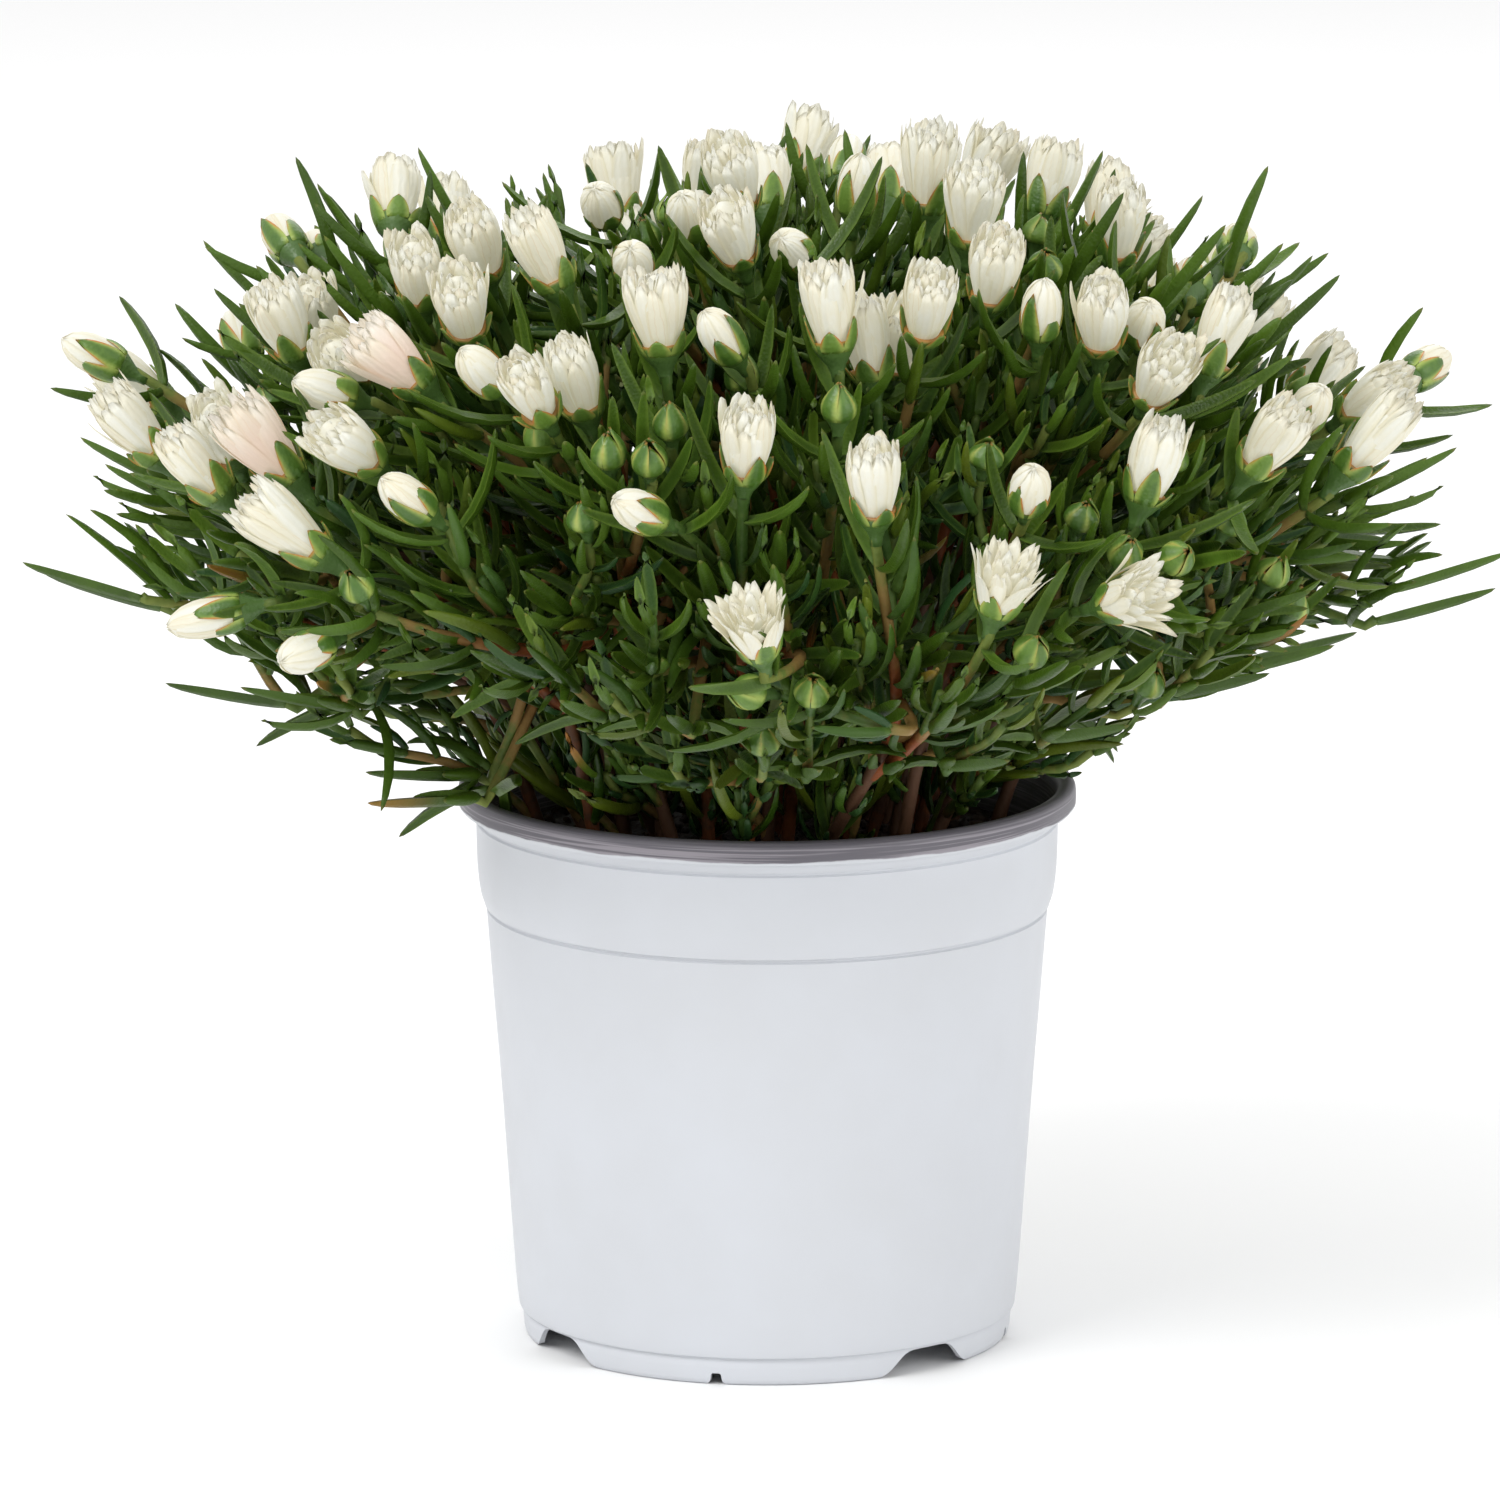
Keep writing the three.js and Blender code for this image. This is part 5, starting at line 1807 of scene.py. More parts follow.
    def side_shoot(self, foot: Array, starts: Array, owners: Array) -> None:
        """Grows a leafy side shoot from the nearest fit stem to a place.

        Args:
            foot: Where the shoot's tip leaves grow from.
            starts: Points on stems, where it may start.
            owners: The number of the spray that each belongs to.
        """
        rule = self.rule
        direction = unit(foot - UP * rule.shoot_origin)
        back = starts - foot
        away = np.linalg.norm(back, axis=1)
        inward = -(back @ direction) / np.maximum(away, 1)
        low, high = rule.shoot_reach
        fit = (away > low) & (away < high) & (inward > rule.shoot_heading)
        if not fit.any():
            return
        # A near start wins, and so does one from which the shoot runs outward
        at = int(np.argmin(np.where(fit, away * (rule.shoot_choice - inward), np.inf)))
        start, number = starts[at], int(owners[at])
        leave = unit(direction + unit(foot - start))
        hold = rule.shoot_hold * away[at]
        curve = [start, start + leave * hold, foot - direction * hold, foot]
        shares = np.linspace(0, 1, max(6, int(away[at] / 4)))
        points = np.array([cubic(curve, share) for share in shares])
        total = float(steps_between(points).sum())
        bud = self.green_bud(foot, direction)
        if bud is not None:
            self.buds[number].append(bud)
            steps = np.linspace(0, bud.length, 12)[:, None]
            self.room.take(bud.foot + bud.direction * steps, rule.bud_room)
            points = np.vstack([points, bud.foot])
        spreads = rule.tip_spreads if bud is None else rule.bud_spreads
        self.add_shoot(number, points, rule.side_radii)
        self.room.take(points[2:], rule.side_room)
        turn = self.random.uniform(0, math.pi)
        for side in (0, math.pi):
            length, lean = self.random.uniform(*rule.tip_lengths), self.random.uniform(*spreads)
            self.grow_leaf(number, foot, direction, turn + side, length, lean, rule.tip_youth)
        for k in range(1, rule.shoot_pairs + 1):
            at = total - rule.shoot_gap * k
            if at < rule.last_joint:
                break
            turn += math.pi / 2 + self.random.normal(0, rule.turn_play)
            self.grow_joint(number, points, at, turn, min(1, rule.shoot_ageing * k))


class StemShape:
    """Turns shoots into round stems with slightly swollen joints."""

    SIDES = 7
    JOINT_GAP = 9.5
    SWELL = 0.14
    END = 0.4

    def add(self, lofts: Lofts, shoot: Shoot, tone: float) -> None:
        """Adds a shoot's body to a mesh.

        Args:
            lofts: The mesh.
            shoot: The shoot.
            tone: A number from 0 to 1 for the material.
        """
        points = shoot.points
        along = unit(np.gradient(points, axis=0))
        steps = np.append(0, np.cumsum(steps_between(points)))
        joints = np.cos((steps[-1] - steps) * 2 * math.pi / self.JOINT_GAP)
        swell = 1 + self.SWELL * np.maximum(0, joints) ** 4
        rings = points[:, None] + ring_directions(along, self.SIDES) * (shoot.radii * swell)[:, None, None]
        start, end = points[:1] - along[:1] * self.END, points[-1:] + along[-1:] * self.END
        age = np.broadcast_to(shoot.age[:, None], rings.shape[:2])
        lofts.add(rings[None], start, end, age=age[None], tone=np.full(1, tone))


@dataclass(frozen=True)
class PotDetail:
    """Sizes that only the drawn pot has."""

    segments: int = 176
    gate_line: tuple[Place, ...] = (
        (1.3, -0.3), (1.28, -0.02), (1.12, 0.02), (0.98, 0.06), (0.86, 0.13), (0.74, 0.24), (0.63, 0.37),
        (0.53, 0.51), (0.43, 0.65), (0.33, 0.78), (0.22, 0.89), (0.1, 0.96), (-0.05, 0.99), (-0.25, 1.0),
    )
    notch_line: tuple[Place, ...] = (
        (2.1, -0.6), (2.0, -0.02), (1.55, 0.06), (1.0, 0.16), (0.62, 0.3), (0.42, 0.48), (0.32, 0.72),
        (0.2, 0.98), (0.0, 1.1), (-0.3, 1.14),
    )
    collar_groove: float = 110.9
    groove_depth: float = 0.4
    cut_reach: tuple[float, float] = (38, 60)
    drain_depth: float = 6
    # How many of the outer face's last points have the lining's grey
    rim_points: int = 5
    sharp_deg: float = 38


class PotModel:
    """The thin plastic nursery pot: a turned body with gates, notches and drain holes."""

    def __init__(self, sizes: PotSizes, detail: PotDetail) -> None:
        """Keeps the sizes."""
        self.sizes = sizes
        self.detail = detail

    def outside(self) -> list[Place]:
        """Radius and height of the outer face's points, from the foot to the rim's top."""
        groove, deep = self.detail.collar_groove, self.detail.groove_depth
        return [
            (49.75, 0), (50.6, 0.05), (51.15, 0.5), (51.4, 1.4), (51.6, 3.5), (51.68, 5.1), (51.5, 5.45),
            (51.5, 5.75), (52.35, 6.1), (52.5, 6.5), (52.75, 8.4), (53.1, 12), (53.85, 22), (54.75, 35),
            (55.65, 48), (56.65, 61), (57.75, 74), (58.75, 87), (59.1, 91.5), (59.08 - deep, 91.85),
            (59.1 - deep, 92.25), (59.5, 92.6), (59.8, 93.6), (60.2, 94.7), (60.5, 96.2), (60.75, 98),
            (61.0, 101), (61.15, 105), (61.25, groove - 0.6), (61.28 - deep, groove - 0.2),
            (61.28 - deep, groove + 0.15), (61.4, groove + 0.5), (61.75, 112.3), (62.5, 113.1),
            (63.6, 113.35), (64.5, 113.55), (64.95, 114.1), (65, 115), (65, 116.6), (64.9, 117.4),
            (64.55, 118.05), (63.9, 118.4), (63.2, 118.5),
        ]

    def inside(self) -> list[Place]:
        """Radius and height of the inner face's points, from the rim's top to the floor."""
        sizes = self.sizes
        wall = [(sizes.inner_radius(z), z) for z in (112, 105, 98, 94.8, 92, 80, 60, 40, 20, 9)]
        floor = sizes.base_low + sizes.floor
        lip = [(62.4, 118.35), (61.5, 117.9), (61.0, 116.9), (60.7, 115)]
        return [*lip, *wall, (51.2, 7.9), (50.4, floor), (0, floor)]

    def under(self) -> list[Place]:
        """Radius and height of the underside's points, from the middle to the foot's inner edge."""
        low = self.sizes.base_low
        skirt = [(50.55, low - 0.5), (50.5, 4), (50.2, 2), (49.6, 0.6), (49.2, 0)]
        return [(0, low), (40, low), (50, low), *skirt]

    def turned(self) -> Object:
        """The pot's body before the cuts, with the inner side marked for the material."""
        under, outside, inside = self.under(), self.outside(), self.inside()
        outline = under[1:] + outside + inside[:-1]
        outer = len(under) - 1 + len(outside) - self.detail.rim_points
        marks = [0.0] * outer + [1.0] * (len(outline) - outer)
        count = self.detail.segments
        turn = even_turns(count)
        radius, height = np.array(outline).T
        across, deep = radius[:, None] * np.cos(turn), radius[:, None] * np.sin(turn)
        tall = np.broadcast_to(height[:, None], across.shape)
        points = np.stack([across, deep, tall], -1).reshape(-1, 3)
        points = np.vstack([points, [[0, 0, under[0][1]], [0, 0, inside[-1][1]]]]) * MILLIMETRE
        row = np.arange(len(outline) - 1)[:, None] * count
        corner = np.arange(count)[None]
        after = (corner + 1) % count
        sides = np.stack([row + corner, row + after, row + after + count, row + corner + count], -1)
        sides = sides.reshape(-1, 4).tolist()
        last = (len(outline) - 1) * count
        centre = len(outline) * count
        low = [[centre, int(after[0, i]), i] for i in range(count)]
        high = [[centre + 1, last + i, last + int(after[0, i])] for i in range(count)]
        mesh = bpy.data.meshes.new("pot")
        mesh.from_pydata(points.tolist(), [], sides + low + high)
        lining = mesh.attributes.new("lining", "FLOAT", "POINT")
        lining.data.foreach_set("value", np.append(np.repeat(marks, count), [0.0, 1.0]).astype(np.float32))
        return bpy.data.objects.new("pot", mesh)

    def cutter(
        self, angle_deg: float, foot: float, top: float, height: float, line: tuple[Place, ...]
    ) -> Object:
        """A bar that cuts a gate or notch with softly curved sides through the skirt.

        Args:
            angle_deg: Which way round the pot it stands, from the front.
            foot: The opening's width at the foot.
            top: Its width near the top.
            height: Its height.
            line: Its side: shares of the way from the top's width to the foot's, and of the height.

        Returns:
            The bar, not yet in the scene.
        """
        half = [(0.5 * (top + (foot - top) * wide), height * tall) for wide, tall in line]
        outline = half + [(-x, z) for x, z in reversed(half)]
        around = math.radians(angle_deg)
        out = np.array([math.sin(around), -math.cos(around), 0.0])
        side = np.array([math.cos(around), math.sin(around), 0.0])
        rows = [[side * x + out * far + UP * z for x, z in outline] for far in self.detail.cut_reach]
        points = np.array(rows).reshape(-1, 3) * MILLIMETRE
        count = len(outline)
        faces = [[i, (i + 1) % count, (i + 1) % count + count, i + count] for i in range(count)]
        faces += [list(range(count))[::-1], list(range(count, 2 * count))]
        mesh = bpy.data.meshes.new("cut")
        mesh.from_pydata(points.tolist(), [], faces)
        return self.facing_out(mesh)

    def facing_out(self, mesh: Mesh) -> Object:
        """An object of a mesh whose faces are turned to face out.

        Args:
            mesh: The mesh.

        Returns:
            The object, not yet in the scene.
        """
        shape = bmesh.new()
        shape.from_mesh(mesh)
        bmesh.ops.recalc_face_normals(shape, faces=shape.faces)
        shape.to_mesh(mesh)
        shape.free()
        return bpy.data.objects.new(mesh.name, mesh)

    def drain(self, angle: float) -> Object:
        """A round bar that cuts a drain hole through the floor.

        Args:
            angle: Which way round the axis it stands.

        Returns:
            The bar, not yet in the scene.
        """
        sizes = self.sizes
        mesh = bpy.data.meshes.new("drain")
        shape = bmesh.new()
        out = Vector((math.cos(angle), math.sin(angle), 0))
        place = out * sizes.drain_circle + Vector((0, 0, sizes.base_low))
        radius = sizes.drain_radius * MILLIMETRE
        bmesh.ops.create_cone(
            shape, cap_ends=True, segments=24, radius1=radius, radius2=radius,
            depth=self.detail.drain_depth * MILLIMETRE, matrix=Matrix.Translation(place * MILLIMETRE),
        )
        shape.to_mesh(mesh)
        shape.free()
        return bpy.data.objects.new("drain", mesh)

    def build(self, material: Material) -> Object:
        """Makes the pot.

        Args:
            material: Its material.

        Returns:
            The pot's one piece.
        """
        sizes, detail = self.sizes, self.detail
        body = self.turned()
        gate = (sizes.gate_foot_width, sizes.gate_top_width, sizes.gate_height, detail.gate_line)
        notch = (sizes.notch_foot_width, sizes.notch_top_width, sizes.notch_height, detail.notch_line)
        cuts = [self.cutter(angle, *gate) for angle in sizes.gate_angles]
        cuts += [self.cutter(angle, *notch) for angle in sizes.notch_angles]
        cuts += [self.drain(2 * math.pi * i / sizes.drain_holes) for i in range(sizes.drain_holes)]
        scene = bpy.context.scene.collection.objects
        scene.link(body)
        for cut in cuts:
            scene.link(cut)
            modifier = body.modifiers.new(cut.name, "BOOLEAN")
            modifier.operation = "DIFFERENCE"
            modifier.object = cut
            modifier.solver = "EXACT"
        graph = bpy.context.evaluated_depsgraph_get()
        mesh = bpy.data.meshes.new_from_object(body.evaluated_get(graph))
        for made in [body, *cuts]:
            bpy.data.objects.remove(made)
        mesh.name = "nursery_pot"
        mesh.materials.clear()
        mesh.materials.append(material)
        mesh.shade_smooth()
        mesh.set_sharp_from_angle(angle=math.radians(detail.sharp_deg))
        pot = bpy.data.objects.new("nursery_pot", mesh)
        scene.link(pot)
        return pot


@dataclass(frozen=True)
class SoilDetail:
    """Sizes of the drawn soil."""

    rings: int = 36
    segments: int = 112
    lumps: float = 1.7
    crumbs: int = 620
    crumb_sizes: tuple[float, float] = (0.7, 2.3)
    crumb_sides: int = 6
    crumb_edge: float = 2.6
    sunk: float = 0.6
    seed: int = 5


class SoilModel:
    """The potting soil: a rough crown of crumbs over a plain body."""

    def __init__(self, sizes: PotSizes, detail: SoilDetail) -> None:
        """Keeps the sizes."""
        self.sizes = sizes
        self.detail = detail
        self.random = np.random.default_rng(detail.seed)

    def rough(self, points: Array) -> Array:
        """How far points on the crown are raised or sunk, in millimetres."""
        places = [Vector(point) for point in points.tolist()]
        raised = [noise.noise(place * 0.11) + noise.noise(place * 0.42) * 0.75 for place in places]
        return np.array(raised) * self.detail.lumps

    def ring(self, radius: float, height: float) -> Array:
        """One round of the body's points."""
        turn = even_turns(self.detail.segments)
        return np.column_stack([np.cos(turn) * radius, np.sin(turn) * radius, np.full(len(turn), height)])

    def build(self, material: Material) -> Object:
        """Makes the soil.

        Args:
            material: Its material.

        Returns:
            The soil's one piece.
        """
        sizes, detail = self.sizes, self.detail
        edge = sizes.inner_radius(sizes.soil_edge) - sizes.soil_gap
        low = sizes.base_low + sizes.floor + sizes.soil_gap
        levels = (low, 40, 70, sizes.step_low, sizes.collar_low, 101)
        rings = [self.ring(sizes.inner_radius(level) - sizes.soil_gap, level) for level in levels]
        for share in np.linspace(1, 0.02, detail.rings):
            radius = edge * share
            ring = self.ring(radius, sizes.soil_top(radius))
            ring[:, 2] += self.rough(ring) * min(1, 6 * (1 - share) + 0.15) - detail.sunk
            rings.append(ring)
        lofts = Lofts()
        middle = np.array([[0, 0, low]])
        crown = rings[-1].mean(0)[None]
        lofts.add(np.array(rings)[None], middle, crown, tone=np.full(1, 0.4))
        self.add_crumbs(lofts, edge)
        return lofts.piece("potting_soil", material)

    def add_crumbs(self, lofts: Lofts, edge: float) -> None:
        """Strews crumbs and short fibres over the crown.

        Args:
            lofts: The mesh that they go in.
            edge: The soil's radius at its edge.
        """
        random, detail = self.random, self.detail
        count = detail.crumbs
        radius = np.sqrt(random.random(count)) * (edge - detail.crumb_edge)
        turn = random.random(count) * 2 * math.pi
        size = random.uniform(*detail.crumb_sizes, count)
        size *= np.where(random.random(count) < 0.6, 0.6, 1.0)
        centre = np.column_stack([radius * np.cos(turn), radius * np.sin(turn), self.sizes.soil_top(radius)])
        centre[:, 2] += self.rough(centre) - detail.sunk + 0.25 * size
        along = unit(random.normal(0, 1, (count, 3)) * np.array([1, 1, 0.35]))
        stretch = random.uniform(0.9, 1.7, count)
        around = ring_directions(along, detail.crumb_sides)
        rings = []
        for place, wide in ((-0.62, 0.66), (0, 1.0), (0.6, 0.7)):
            jitter = random.uniform(0.72, 1.18, (count, detail.crumb_sides, 1))
            middle = centre + along * (place * size * stretch)[:, None]
            rings.append(middle[:, None] + around * (wide * size * 0.8)[:, None, None] * jitter)
        rings = np.stack(rings, 1)
        ends = along * (0.95 * size * stretch)[:, None]
        lofts.add(rings, centre - ends, centre + ends, tone=random.random(count)[:, None, None])


class Tree:
    """A node tree while it is being drawn up, with short calls for the usual nodes."""

    def __init__(self, tree: NodeTree) -> None:
        """Keeps the tree."""
        self.tree = tree

    def link(self, value: object, socket: Socket) -> None:
        """Joins a socket to an input, or sets a constant on it.

        Args:
            value: Another socket or a constant.
            socket: The input.
        """
        if isinstance(value, Socket):
            self.tree.links.new(value, socket)
        elif isinstance(value, tuple) and len(value) == 3 and socket.type == "RGBA":
            socket.default_value = (*value, 1)
        else:
            socket.default_value = value

    def node(self, kind: str, inputs: dict, **settings: object) -> bpy.types.Node:
        """Adds a node.

        Args:
            kind: Its type.
            inputs: What its inputs take, by name or number: a socket or a constant.
            settings: Its own settings.

        Returns:
            The node.
        """
        made = self.tree.nodes.new(kind)
        for name, value in settings.items():
            setattr(made, name, value)
        for name, value in inputs.items():
            self.link(value, made.inputs[name])
        return made

    def value(self, name: str) -> Socket:
        """A number kept on the mesh."""
        return self.node("ShaderNodeAttribute", {}, attribute_name=name).outputs["Fac"]

    def place(self) -> Socket:
        """The place on the object, in metres."""
        return self.node("ShaderNodeTexCoord", {}).outputs["Object"]

    def height_of(self, place: object) -> Socket:
        """How high a place is, in metres."""
        return self.node("ShaderNodeSeparateXYZ", {0: place}).outputs["Z"]

    def math(self, operation: str, first: object, second: object = 0.0) -> Socket:
        """The result of a calculation with one or two numbers."""
        return self.node("ShaderNodeMath", {0: first, 1: second}, operation=operation).outputs[0]

    def times(self, first: object, second: object) -> Socket:
        """One number times another."""
        return self.math("MULTIPLY", first, second)

    def span(self, value: object, low: float, high: float, start: float = 0, end: float = 1) -> Socket:
        """A number moved smoothly from one span to another.

        Args:
            value: The number.
            low: Where the first span starts.
            high: Where it ends.
            start: Where the second span starts.
            end: Where it ends.

        Returns:
            The moved number.
        """
        inputs = {"Value": value, "From Min": low, "From Max": high, "To Min": start, "To Max": end}
        return self.node("ShaderNodeMapRange", inputs, interpolation_type="SMOOTHSTEP").outputs["Result"]

    def mix(self, share: object, first: object, second: object) -> Socket:
        """A colour between two others.

        Args:
            share: How far towards the second.
            first: One colour.
            second: The other.

        Returns:
            The mixed colour.
        """
        made = self.node("ShaderNodeMix", {}, data_type="RGBA")
        for i, value in ((0, share), (6, first), (7, second)):
            self.link(value, made.inputs[i])
        return made.outputs[2]

    def noise(self, place: object, scale: float, detail: float = 2.0) -> Socket:
        """Even noise round 0.5 at a place."""
        inputs = {"Vector": place, "Scale": scale, "Detail": detail}
        return self.node("ShaderNodeTexNoise", inputs).outputs["Fac"]

    def stretched(self, place: object, scale: tuple[float, float, float]) -> Socket:
        """A place with its three directions scaled."""
        return self.node("ShaderNodeMapping", {"Vector": place, "Scale": scale}).outputs["Vector"]

    def effect(self, shared: NodeTree, inputs: dict) -> Socket:
        """The result of a shared effect that is placed with its own values.

        Args:
            shared: The effect's node group.
            inputs: What its inputs take, by name.

        Returns:
            Its one output.
        """
        made = self.tree.nodes.new("ShaderNodeGroup")
        made.node_tree = shared
        for name, value in inputs.items():
            self.link(value, made.inputs[name])
        return made.outputs[0]


class SharedEffects:
    """The effects that several materials use, each a node group that is built once."""

    def __init__(self) -> None:
        """Builds the groups."""
        self.mottle = self.build_mottle()
        self.grain = self.build_grain()

    def start(self, name: str, numbers: dict[str, float], output: str) -> tuple[Tree, object, object]:
        """Starts a group with its sockets.

        Args:
            name: The group's name.
            numbers: Name and default of each input but the place, which all have.
            output: The name of its one output, a number.

        Returns:
            The tree, its input node and its output node.
        """
        group = bpy.data.node_groups.new(name, "ShaderNodeTree")
        group.interface.new_socket("Place", in_out="INPUT", socket_type="NodeSocketVector")
        for title, default in numbers.items():
            socket = group.interface.new_socket(title, in_out="INPUT", socket_type="NodeSocketFloat")
            socket.default_value = default
        group.interface.new_socket(output, in_out="OUTPUT", socket_type="NodeSocketFloat")
        tree = Tree(group)
        return tree, group.nodes.new("NodeGroupInput"), group.nodes.new("NodeGroupOutput")

    def build_mottle(self) -> NodeTree:
        """Soft patches that make a surface's colour uneven, as a mask."""
        tree, given, result = self.start("mottle", {"Scale": 60, "Tone": 0.5}, "Mask")
        place, scale = given.outputs["Place"], given.outputs["Scale"]
        broad = tree.noise(place, scale)
        fine = tree.noise(place, tree.times(scale, 3.7))
        both = tree.math("ADD", tree.times(broad, 0.7), tree.times(fine, 0.3))
        moved = tree.math("ADD", tree.times(given.outputs["Tone"], 0.5), both)
        tree.link(tree.span(moved, 0.45, 1.05), result.inputs["Mask"])
        return tree.tree

    def build_grain(self) -> NodeTree:
        """A fine uneven height, for a bump."""
        tree, given, result = self.start("grain", {"Scale": 900}, "Height")
        place, scale = given.outputs["Place"], given.outputs["Scale"]
        cells = tree.node("ShaderNodeTexVoronoi", {"Vector": place, "Scale": scale}).outputs["Distance"]
        soft = tree.noise(place, tree.times(scale, 0.3))
        tree.link(tree.math("ADD", tree.times(cells, 0.5), soft), result.inputs["Height"])
        return tree.tree


class Finish:
    """A material while it is made: its tree, the place, tone and soft patches on its surface."""

    BUMP_DISTANCE = 0.0006

    def __init__(
        self, name: str, effects: SharedEffects, patches: float, colours: tuple[Colour, Colour],
        tone: float | None = None,
    ) -> None:
        """Starts the material.

        Args:
            name: Its name.
            effects: The shared effects.
            patches: The scale of its patches.
            colours: The colours between its patches and on them.
            tone: How much the patches show, or None for the tone that each body has.
        """
        self.material = bpy.data.materials.new(name)
        self.material.use_nodes = True
        self.effects = effects
        self.tree = Tree(self.material.node_tree)
        self.place = self.tree.place()
        self.tone = self.tree.value("tone") if tone is None else tone
        inputs = {"Place": self.place, "Scale": patches, "Tone": self.tone}
        self.patches = self.tree.effect(effects.mottle, inputs)
        self.colour = self.tree.mix(self.patches, *colours)

    def grain(self, scale: float) -> Socket:
        """A fine uneven height on its surface."""
        return self.tree.effect(self.effects.grain, {"Place": self.place, "Scale": scale})

    def lay(self, share: object, colour: object) -> None:
        """Lays a colour over those so far, as far as a share says."""
        self.colour = self.tree.mix(share, self.colour, colour)

    def close(
        self, roughness: tuple[float, float], height: object, bump: float, **constants: object
    ) -> Material:
        """Joins the results to the shader.

        Args:
            roughness: The roughness without patches and that with them.
            height: The height for the bump.
            bump: How strong the bump is.
            constants: Values for the shader's other inputs, with _ for a space.

        Returns:
            The material.
        """
        tree = self.tree
        shader = tree.tree.nodes["Principled BSDF"]
        inputs = {"Height": height, "Strength": bump, "Distance": self.BUMP_DISTANCE}
        normal = tree.node("ShaderNodeBump", inputs).outputs["Normal"]
        tree.link(self.colour, shader.inputs["Base Color"])
        tree.link(tree.span(self.patches, 0, 1, *roughness), shader.inputs["Roughness"])
        tree.link(normal, shader.inputs["Normal"])
        for name, value in constants.items():
            tree.link(value, shader.inputs[name.replace("_", " ")])
        return self.material


@dataclass(frozen=True)
class LeafFinish:
    """Waxy dark green leaves, lighter at the edges and now and then red at the tip."""

    deep: Colour = (0.013, 0.038, 0.002)
    light: Colour = (0.051, 0.112, 0.008)
    young: Colour = (0.115, 0.205, 0.014)
    olive: Colour = (0.120, 0.160, 0.011)
    bluish: Colour = (0.019, 0.062, 0.019)
    # Lighter margins: partly the leaf's own paler rim, partly painted light that the thin margins let through
    # and catch
    edge: Colour = (0.18, 0.275, 0.036)
    shaded: Colour = (0.009, 0.026, 0.001)
    foot: Colour = (0.11, 0.19, 0.04)
    tip: Colour = (0.30, 0.13, 0.05)
    blush: Colour = (0.52, 0.15, 0.035)
    aged: Colour = (0.50, 0.36, 0.07)
    shade_heights: tuple[float, float] = (0.185, 0.13)
    bump: float = 0.25

    def build(self, effects: SharedEffects) -> Material:
        """Makes the material.

        Args:
            effects: The shared effects.

        Returns:
            The material.
        """
        finish = Finish("leaf", effects, 130, (self.deep, self.light))
        tree, tone = finish.tree, finish.tone
        along, face = tree.value("along"), tree.value("face")
        finish.lay(tree.times(tree.value("youth"), 0.5), self.young)
        finish.lay(tree.span(tree.value("hue"), 0.0, -1.0, 0, 0.85), self.bluish)
        finish.lay(tree.span(tree.value("hue"), 0.1, 1.1, 0, 0.85), self.olive)
        # The margins are laid lighter: partly their paler rim, partly painted light through and on them
        finish.lay(tree.times(tree.span(face, 0.2, 0.3), 0.3), self.edge)
        finish.lay(tree.span(tree.height_of(finish.place), *self.shade_heights, 0, 0.3), self.shaded)
        finish.lay(tree.span(along, 0.16, 0.0, 0, 0.65), self.foot)
        warm = tree.mix(tree.span(tone, 0.35, 0.6), self.blush, self.aged)
        reach = tree.times(tree.value("blush"), tree.span(along, 0.3, 0.95))
        finish.lay(reach, warm)
        finish.lay(tree.times(tree.span(along, 0.95, 1.0, 0, 0.8), tone), self.tip)
        grain = finish.grain(1500)
        return finish.close((0.34, 0.48), grain, self.bump, Specular_IOR_Level=0.3)


@dataclass(frozen=True)
class PetalFinish:
    """Cream white petals with fine lengthwise lines."""

    white: Colour = (0.575, 0.58, 0.54)
    cream: Colour = (0.56, 0.535, 0.435)
    # Painted shade along each petal's side margins, where it meets its neighbour, in a darker cream
    margin_shade: Colour = (0.49, 0.445, 0.29)
    shade: Colour = (0.46, 0.47, 0.30)
    faded: Colour = (0.46, 0.34, 0.20)
    pink: Colour = (0.575, 0.395, 0.345)
    lines: float = 9
    # The light that passes through the thin petals, which the shader leaves out
    glow: Colour = (1.0, 0.95, 0.68)
    glow_strength: float = 0.205
    bump: float = 0.22

    def build(self, effects: SharedEffects) -> Material:
        """Makes the material.

        Args:
            effects: The shared effects.

        Returns:
            The material.
        """
        finish = Finish("petal", effects, 180, (self.white, self.cream))
        tree, place, tone = finish.tree, finish.place, finish.tone
        along, across = tree.value("along"), tree.value("across")
        wander = tree.times(tree.noise(place, 420.0), 5.0)
        wave = tree.math("SINE", tree.math("ADD", tree.times(across, self.lines), wander))
        finish.lay(tree.span(wave, 0.2, 1, 0, 0.25), self.cream)
        # Painted shade: each petal's side margins are darkened where it overlaps its neighbour
        sides = tree.span(tree.math("ABSOLUTE", across), 0.5, 1.0, 0, 0.55)
        finish.lay(sides, self.margin_shade)
        streak = tree.times(tree.span(wave, 0.8, 1.0), tree.span(tone, 0.6, 1.0, 0, 0.45))
        finish.lay(streak, self.faded)
        finish.lay(tree.span(along, 0.3, 0.0, 0, 0.45), self.shade)
        old = tree.times(tree.span(along, 0.88, 1.0), tree.span(tone, 0.75, 1.0, 0, 0.35))
        finish.lay(old, self.faded)
        turned = tree.times(tree.value("pink"), tree.span(along, 0.45, 1.0, 0.85, 0.25))
        finish.lay(turned, self.pink)
        height = tree.math("ADD", tree.times(wave, 0.35), tree.times(finish.grain(700), 0.35))
        glow = {"Emission_Color": self.glow, "Emission_Strength": self.glow_strength}
        return finish.close((0.5, 0.62), height, self.bump, **glow)


